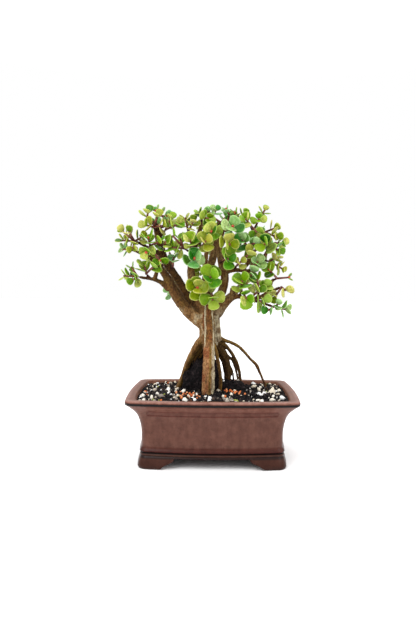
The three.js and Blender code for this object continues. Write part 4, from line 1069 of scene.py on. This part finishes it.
def grow_pairs(wanted):
    """Grows the pairs that wanted(shoot number, pair) asks for, from the tips down."""
    for pair in range(max(tip[3] for _, _, shoots, _ in sprays for tip in shoots)):
        for index, (spray, _, shoots, leaves) in enumerate(sprays):
            for number, (fork, tip, leaf, pairs, turn) in enumerate(shoots):
                draw = random_numbers(1000 * index + 100 * number + pair)
                down = SHOOT["first_pair"] + pair * LEAF["spacing"] * leaf
                if down >= (tip - fork).length or pair >= pairs or not wanted(number, pair):
                    continue
                axis = (tip - fork).normalized()
                size = SIZES[min(pair, len(SIZES) - 1)]
                lift = LIFTS[min(pair, len(LIFTS) - 1)]
                for half in (0, 180):
                    more, up, larger = draw(), draw(), draw()
                    turned = turn + 90 * pair + half + 24 * (more - 0.5)
                    grown = grow_leaf(
                        tip - axis * down, axis, turned, lift + 16 * (up - 0.5),
                        leaf * size * (0.92 + 0.16 * larger), (spray, number, pair),
                    )
                    if grown:
                        taken.append(grown)
                        leaves.append(grown)


grow_pairs(lambda number, pair: pair < FIRST_PAIRS[number])
grow_pairs(lambda number, pair: pair >= FIRST_PAIRS[number])


def shape_leaf(bm, leaf, layers, draw):
    """A plump blade, widest past its middle, with a blunt rim and a little twist of its own."""
    across = leaf.along.cross(leaf.face)
    tone, pale, curl, lean = draw(), draw(), draw() - 0.35, draw() - 0.5
    blade = bmesh.ops.create_uvsphere(bm, u_segments=12, v_segments=5, radius=1)["verts"]
    widest = max(math.hypot(vert.co.x, vert.co.y) for vert in blade)
    for vert in blade:
        out = math.hypot(vert.co.x, vert.co.y) / widest
        angle = math.atan2(vert.co.y, vert.co.x)
        reach = 0.5 + 0.5 * out * math.cos(angle)
        half = 0.5 * LEAF["round"] * out * math.sin(angle) * (1 + LEAF["taper"] * math.cos(angle) * out)
        rise = 0.5 * LEAF["plump"] * vert.co.z + LEAF["cup"] * leaf.length * reach
        rise += leaf.length * (0.5 * curl * half * half + 0.16 * lean * half * reach)
        point = leaf.root + leaf.along * ((leaf.length - LEAF["neck"]) * reach + LEAF["neck"])
        vert.co = point + across * leaf.length * half + leaf.face * rise
        for layer, value in zip(layers, (tone, pale, out)):
            vert[layer] = value


def shape_stem(bm, points, sides):
    """A round stem through points of (place, radius), closed by a bead at its tip."""
    for (start, thick), (end, thin) in zip(points, points[1:]):
        run = end - start
        turn = run.to_track_quat("Z", "Y").to_matrix().to_4x4()
        bmesh.ops.create_cone(
            bm, cap_ends=True, segments=sides, radius1=thick, radius2=thin, depth=run.length,
            matrix=Matrix.Translation(start + run / 2) @ turn,
        )
        bmesh.ops.create_icosphere(bm, subdivisions=1, radius=thin, matrix=Matrix.Translation(end))


def leaf_material(name, shades, margin, cream):
    """A fleshy leaf: waxy skin over wet green tissue that lets some light through. It is paler
    along the rim, and some leaves are flushed with cream."""
    material, shader = new_material(name, {
        "IOR": 1.42, "Specular IOR Level": 0.2, "Subsurface Weight": 0.1, "Subsurface Radius": (0.5, 1, 0.15),
        "Subsurface Scale": 0.0012, "Coat Weight": 0.05, "Coat Roughness": 0.25,
    })
    tone, pale, rim = (attribute(material, word) for word in LEAF_LAYERS)
    tissue = clouds(material, 3.2 * MM, 3, 0.55)
    dots = clouds(material, 0.8 * MM, 2)
    drift = reckon(material, "MULTIPLY_ADD", tissue, 0.7, -0.35)
    by_tone = shade_by(material, reckon(material, "ADD", tone, drift), *shades)
    hue = spread(material, pale, 0, 0.7, 0.52, 0.48)
    green = add(material, "HueSaturation", {"Hue": hue, "Saturation": 1.08, "Value": 0.86, "Color": by_tone})
    flush = spread(material, pale, 0.74, 0.98, 0, 0.85)
    blotched = spread(material, tissue, 0.4, 0.6, 0.45, 1)
    flushed = merge(material, reckon(material, "MULTIPLY", flush, blotched), green, colour(cream), "MIX")
    edge = spread(material, rim, 0.84, 1, 0, 0.75)
    feed(shader, {
        "Base Color": merge(material, edge, flushed, colour(margin), "MIX"),
        "Roughness": spread(material, tissue, 0, 1, 0.3, 0.48),
        "Normal": emboss(material, dots, 0.15, 0.25 * MM),
    })
    return material


LEAF_LAYERS = ("tone", "pale", "rim")
leaf_skins = [
    ("leaf_green", leaf_material(
        "green_leaf", [(0.05, "#2a5604"), (0.4, "#4f8412"), (0.95, "#86a83a")], "#a0bc50", "#c6c468")),
    ("leaf_pale_green", leaf_material(
        "pale_green_leaf", [(0.05, "#3f6c10"), (0.4, "#6f9628"), (0.95, "#9fb454")], "#b2c060", "#cdc870")),
    ("leaf_blue_green", leaf_material(
        "blue_green_leaf", [(0.05, "#2f641a"), (0.4, "#56903a"), (0.95, "#98c084")], "#a8cc86", "#bccf88")),
    ("leaf_yellow_green", leaf_material(
        "yellow_green_leaf", [(0.05, "#557412"), (0.4, "#84962c"), (0.95, "#b2b25c")], "#c4c46c", "#d2cb7c")),
]
# A young stem of dwarf jade: red-maroon skin, smooth and a little glossy.
young_stem, stem_skin = new_material("young_stem", {"Roughness": 0.45, "IOR": 1.42, "Coat Weight": 0.1})
flush = clouds(young_stem, 4 * MM, 3)
feed(stem_skin, {
    "Base Color": shade_by(young_stem, flush, (0.35, "#542824"), (0.55, "#7a3b2e"), (0.75, "#8f6a3a")),
    "Normal": emboss(young_stem, flush, 0.2, 0.3 * MM),
})
# A bud that is about to open: coral red, with a soft skin.
red_bud, bud_skin = new_material("red_bud", {"Roughness": 0.5, "IOR": 1.42})
blush = clouds(red_bud, 1.2 * MM, 2)
feed(bud_skin, {"Base Color": shade_by(red_bud, blush, (0.35, "#a02c20"), (0.65, "#cf5a3c"))})
# A bud's place past the tip and its radii, and the sprays whose buds are about to open.
BUD = {"ahead": 0.9, "open": 1.9, "shut": 1.4}
BUDDING = (
    "top_left_inner", "red_tip", "top_right_fork", "centre_round", "front_pale", "right_edge",
    "right_middle_tip", "front_low_left", "centre_top_pale", "left_inner",
)

for index, (spray, start, shoots, leaves) in enumerate(sprays):
    bm = bmesh.new()
    layers = [bm.verts.layers.float.new(word) for word in LEAF_LAYERS]
    draw = random_numbers(7000 + index)
    for leaf in leaves:
        shape_leaf(bm, leaf, layers, draw)
    blade_faces = len(bm.faces)
    for number, (fork, tip, *_) in enumerate(shoots):
        stout = SHOOT["base"] * SHOOT["swell"]
        base = [] if number else [(start, stout)]
        shape_stem(bm, [*base, (fork, stout), (tip, SHOOT["tip"] * SHOOT["swell"])], SHOOT["sides"])
    stem_faces = len(bm.faces)
    for fork, tip, *_ in shoots:
        bud = Matrix.Translation(tip + (tip - fork).normalized() * BUD["ahead"])
        size = BUD["open"] if spray in BUDDING else BUD["shut"]
        bmesh.ops.create_icosphere(bm, subdivisions=2, radius=size, matrix=bud)
    bmesh.ops.recalc_face_normals(bm, faces=bm.faces)
    piece = in_the_frame("leaves_" + spray, bm)
    slot, skin = leaf_skins[index % len(leaf_skins)]
    node = "spray_" + spray
    dress(piece, skin, slot, *([node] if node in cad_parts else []))
    piece.data.materials.append(young_stem)
    piece.data.materials.append(red_bud if spray in BUDDING else young_stem)
    for face in piece.data.polygons:
        face.material_index = int(face.index >= blade_faces) + int(face.index >= stem_faces)

# ---- the studio --------------------------------------------------------------------------------
# A flat white floor under soft light: a wide lamp high on the left in front, a weaker one on the
# right, and white walls all round.
scene = bpy.context.scene
sweep = bmesh.new()
bmesh.ops.create_grid(sweep, x_segments=2, y_segments=2, size=6)
floor = in_the_scene("floor", as_mesh("floor", sweep))
paper, _ = new_material("white_paper", {"Base Color": (1, 1, 1, 1), "Roughness": 1, "Specular IOR Level": 0})
floor.data.materials.append(paper)
floor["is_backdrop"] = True

world = bpy.data.worlds.new("white_walls")
world.use_nodes = True
walls = world.node_tree.nodes["Background"]
rise = add(world, "SeparateXYZ", {0: add(world, "TexCoord", out="Generated")}, "Z")
soft_top = spread(world, rise, 0, 0.6, 0.12, 1.62)
seen = add(world, "LightPath", out="Is Camera Ray")
feed(walls, {"Color": (1, 1, 1, 1), "Strength": reckon(world, "MAXIMUM", soft_top, seen)})
scene.world = world


def add_lamp(name, place, aim, size, power):
    """A round lamp at a place, turned to what it lights."""
    lamp = bpy.data.lights.new(name, "AREA")
    lamp.shape = "DISK"
    lamp.size = size
    lamp.energy = power
    holder = in_the_scene(name, lamp)
    holder.location = place
    holder.rotation_euler = (Vector(aim) - Vector(place)).to_track_quat("-Z", "Y").to_euler()


add_lamp("key_lamp", (-0.9, -1.0, 1.3), (0, 0, 0.15), 1.3, 15)
add_lamp("fill_lamp", (1.2, -0.8, 0.8), (0, 0, 0.15), 1.0, 5)

# The eye stands in front of the pot's middle, held level but for a slight roll, and its frame is
# shifted a little up and left. Its place is in millimetres, and the shift in pixels of the frame.
EYE = {"away": 700, "up": 219, "lens": 31.15, "roll": 0.5}
FRAME_TALL, SHIFT_X, SHIFT_Y = 624, -5.6, -29
eye = bpy.data.cameras.new("eye")
eye.lens = EYE["lens"]
eye.shift_x = SHIFT_X / FRAME_TALL
eye.shift_y = SHIFT_Y / FRAME_TALL
eye.clip_start = 0.01
camera = in_the_scene("eye", eye)
camera.location = (STAND.x * MM, (STAND.y - EYE["away"]) * MM, (STAND.z + EYE["up"]) * MM)
level = Matrix.Rotation(math.radians(90), 3, "X")
rolled = Matrix.Rotation(math.radians(EYE["roll"]), 3, "Z")
camera.rotation_euler = (level @ rolled).to_euler()
scene.camera = camera
scene.view_settings.view_transform = "Standard"

low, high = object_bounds()
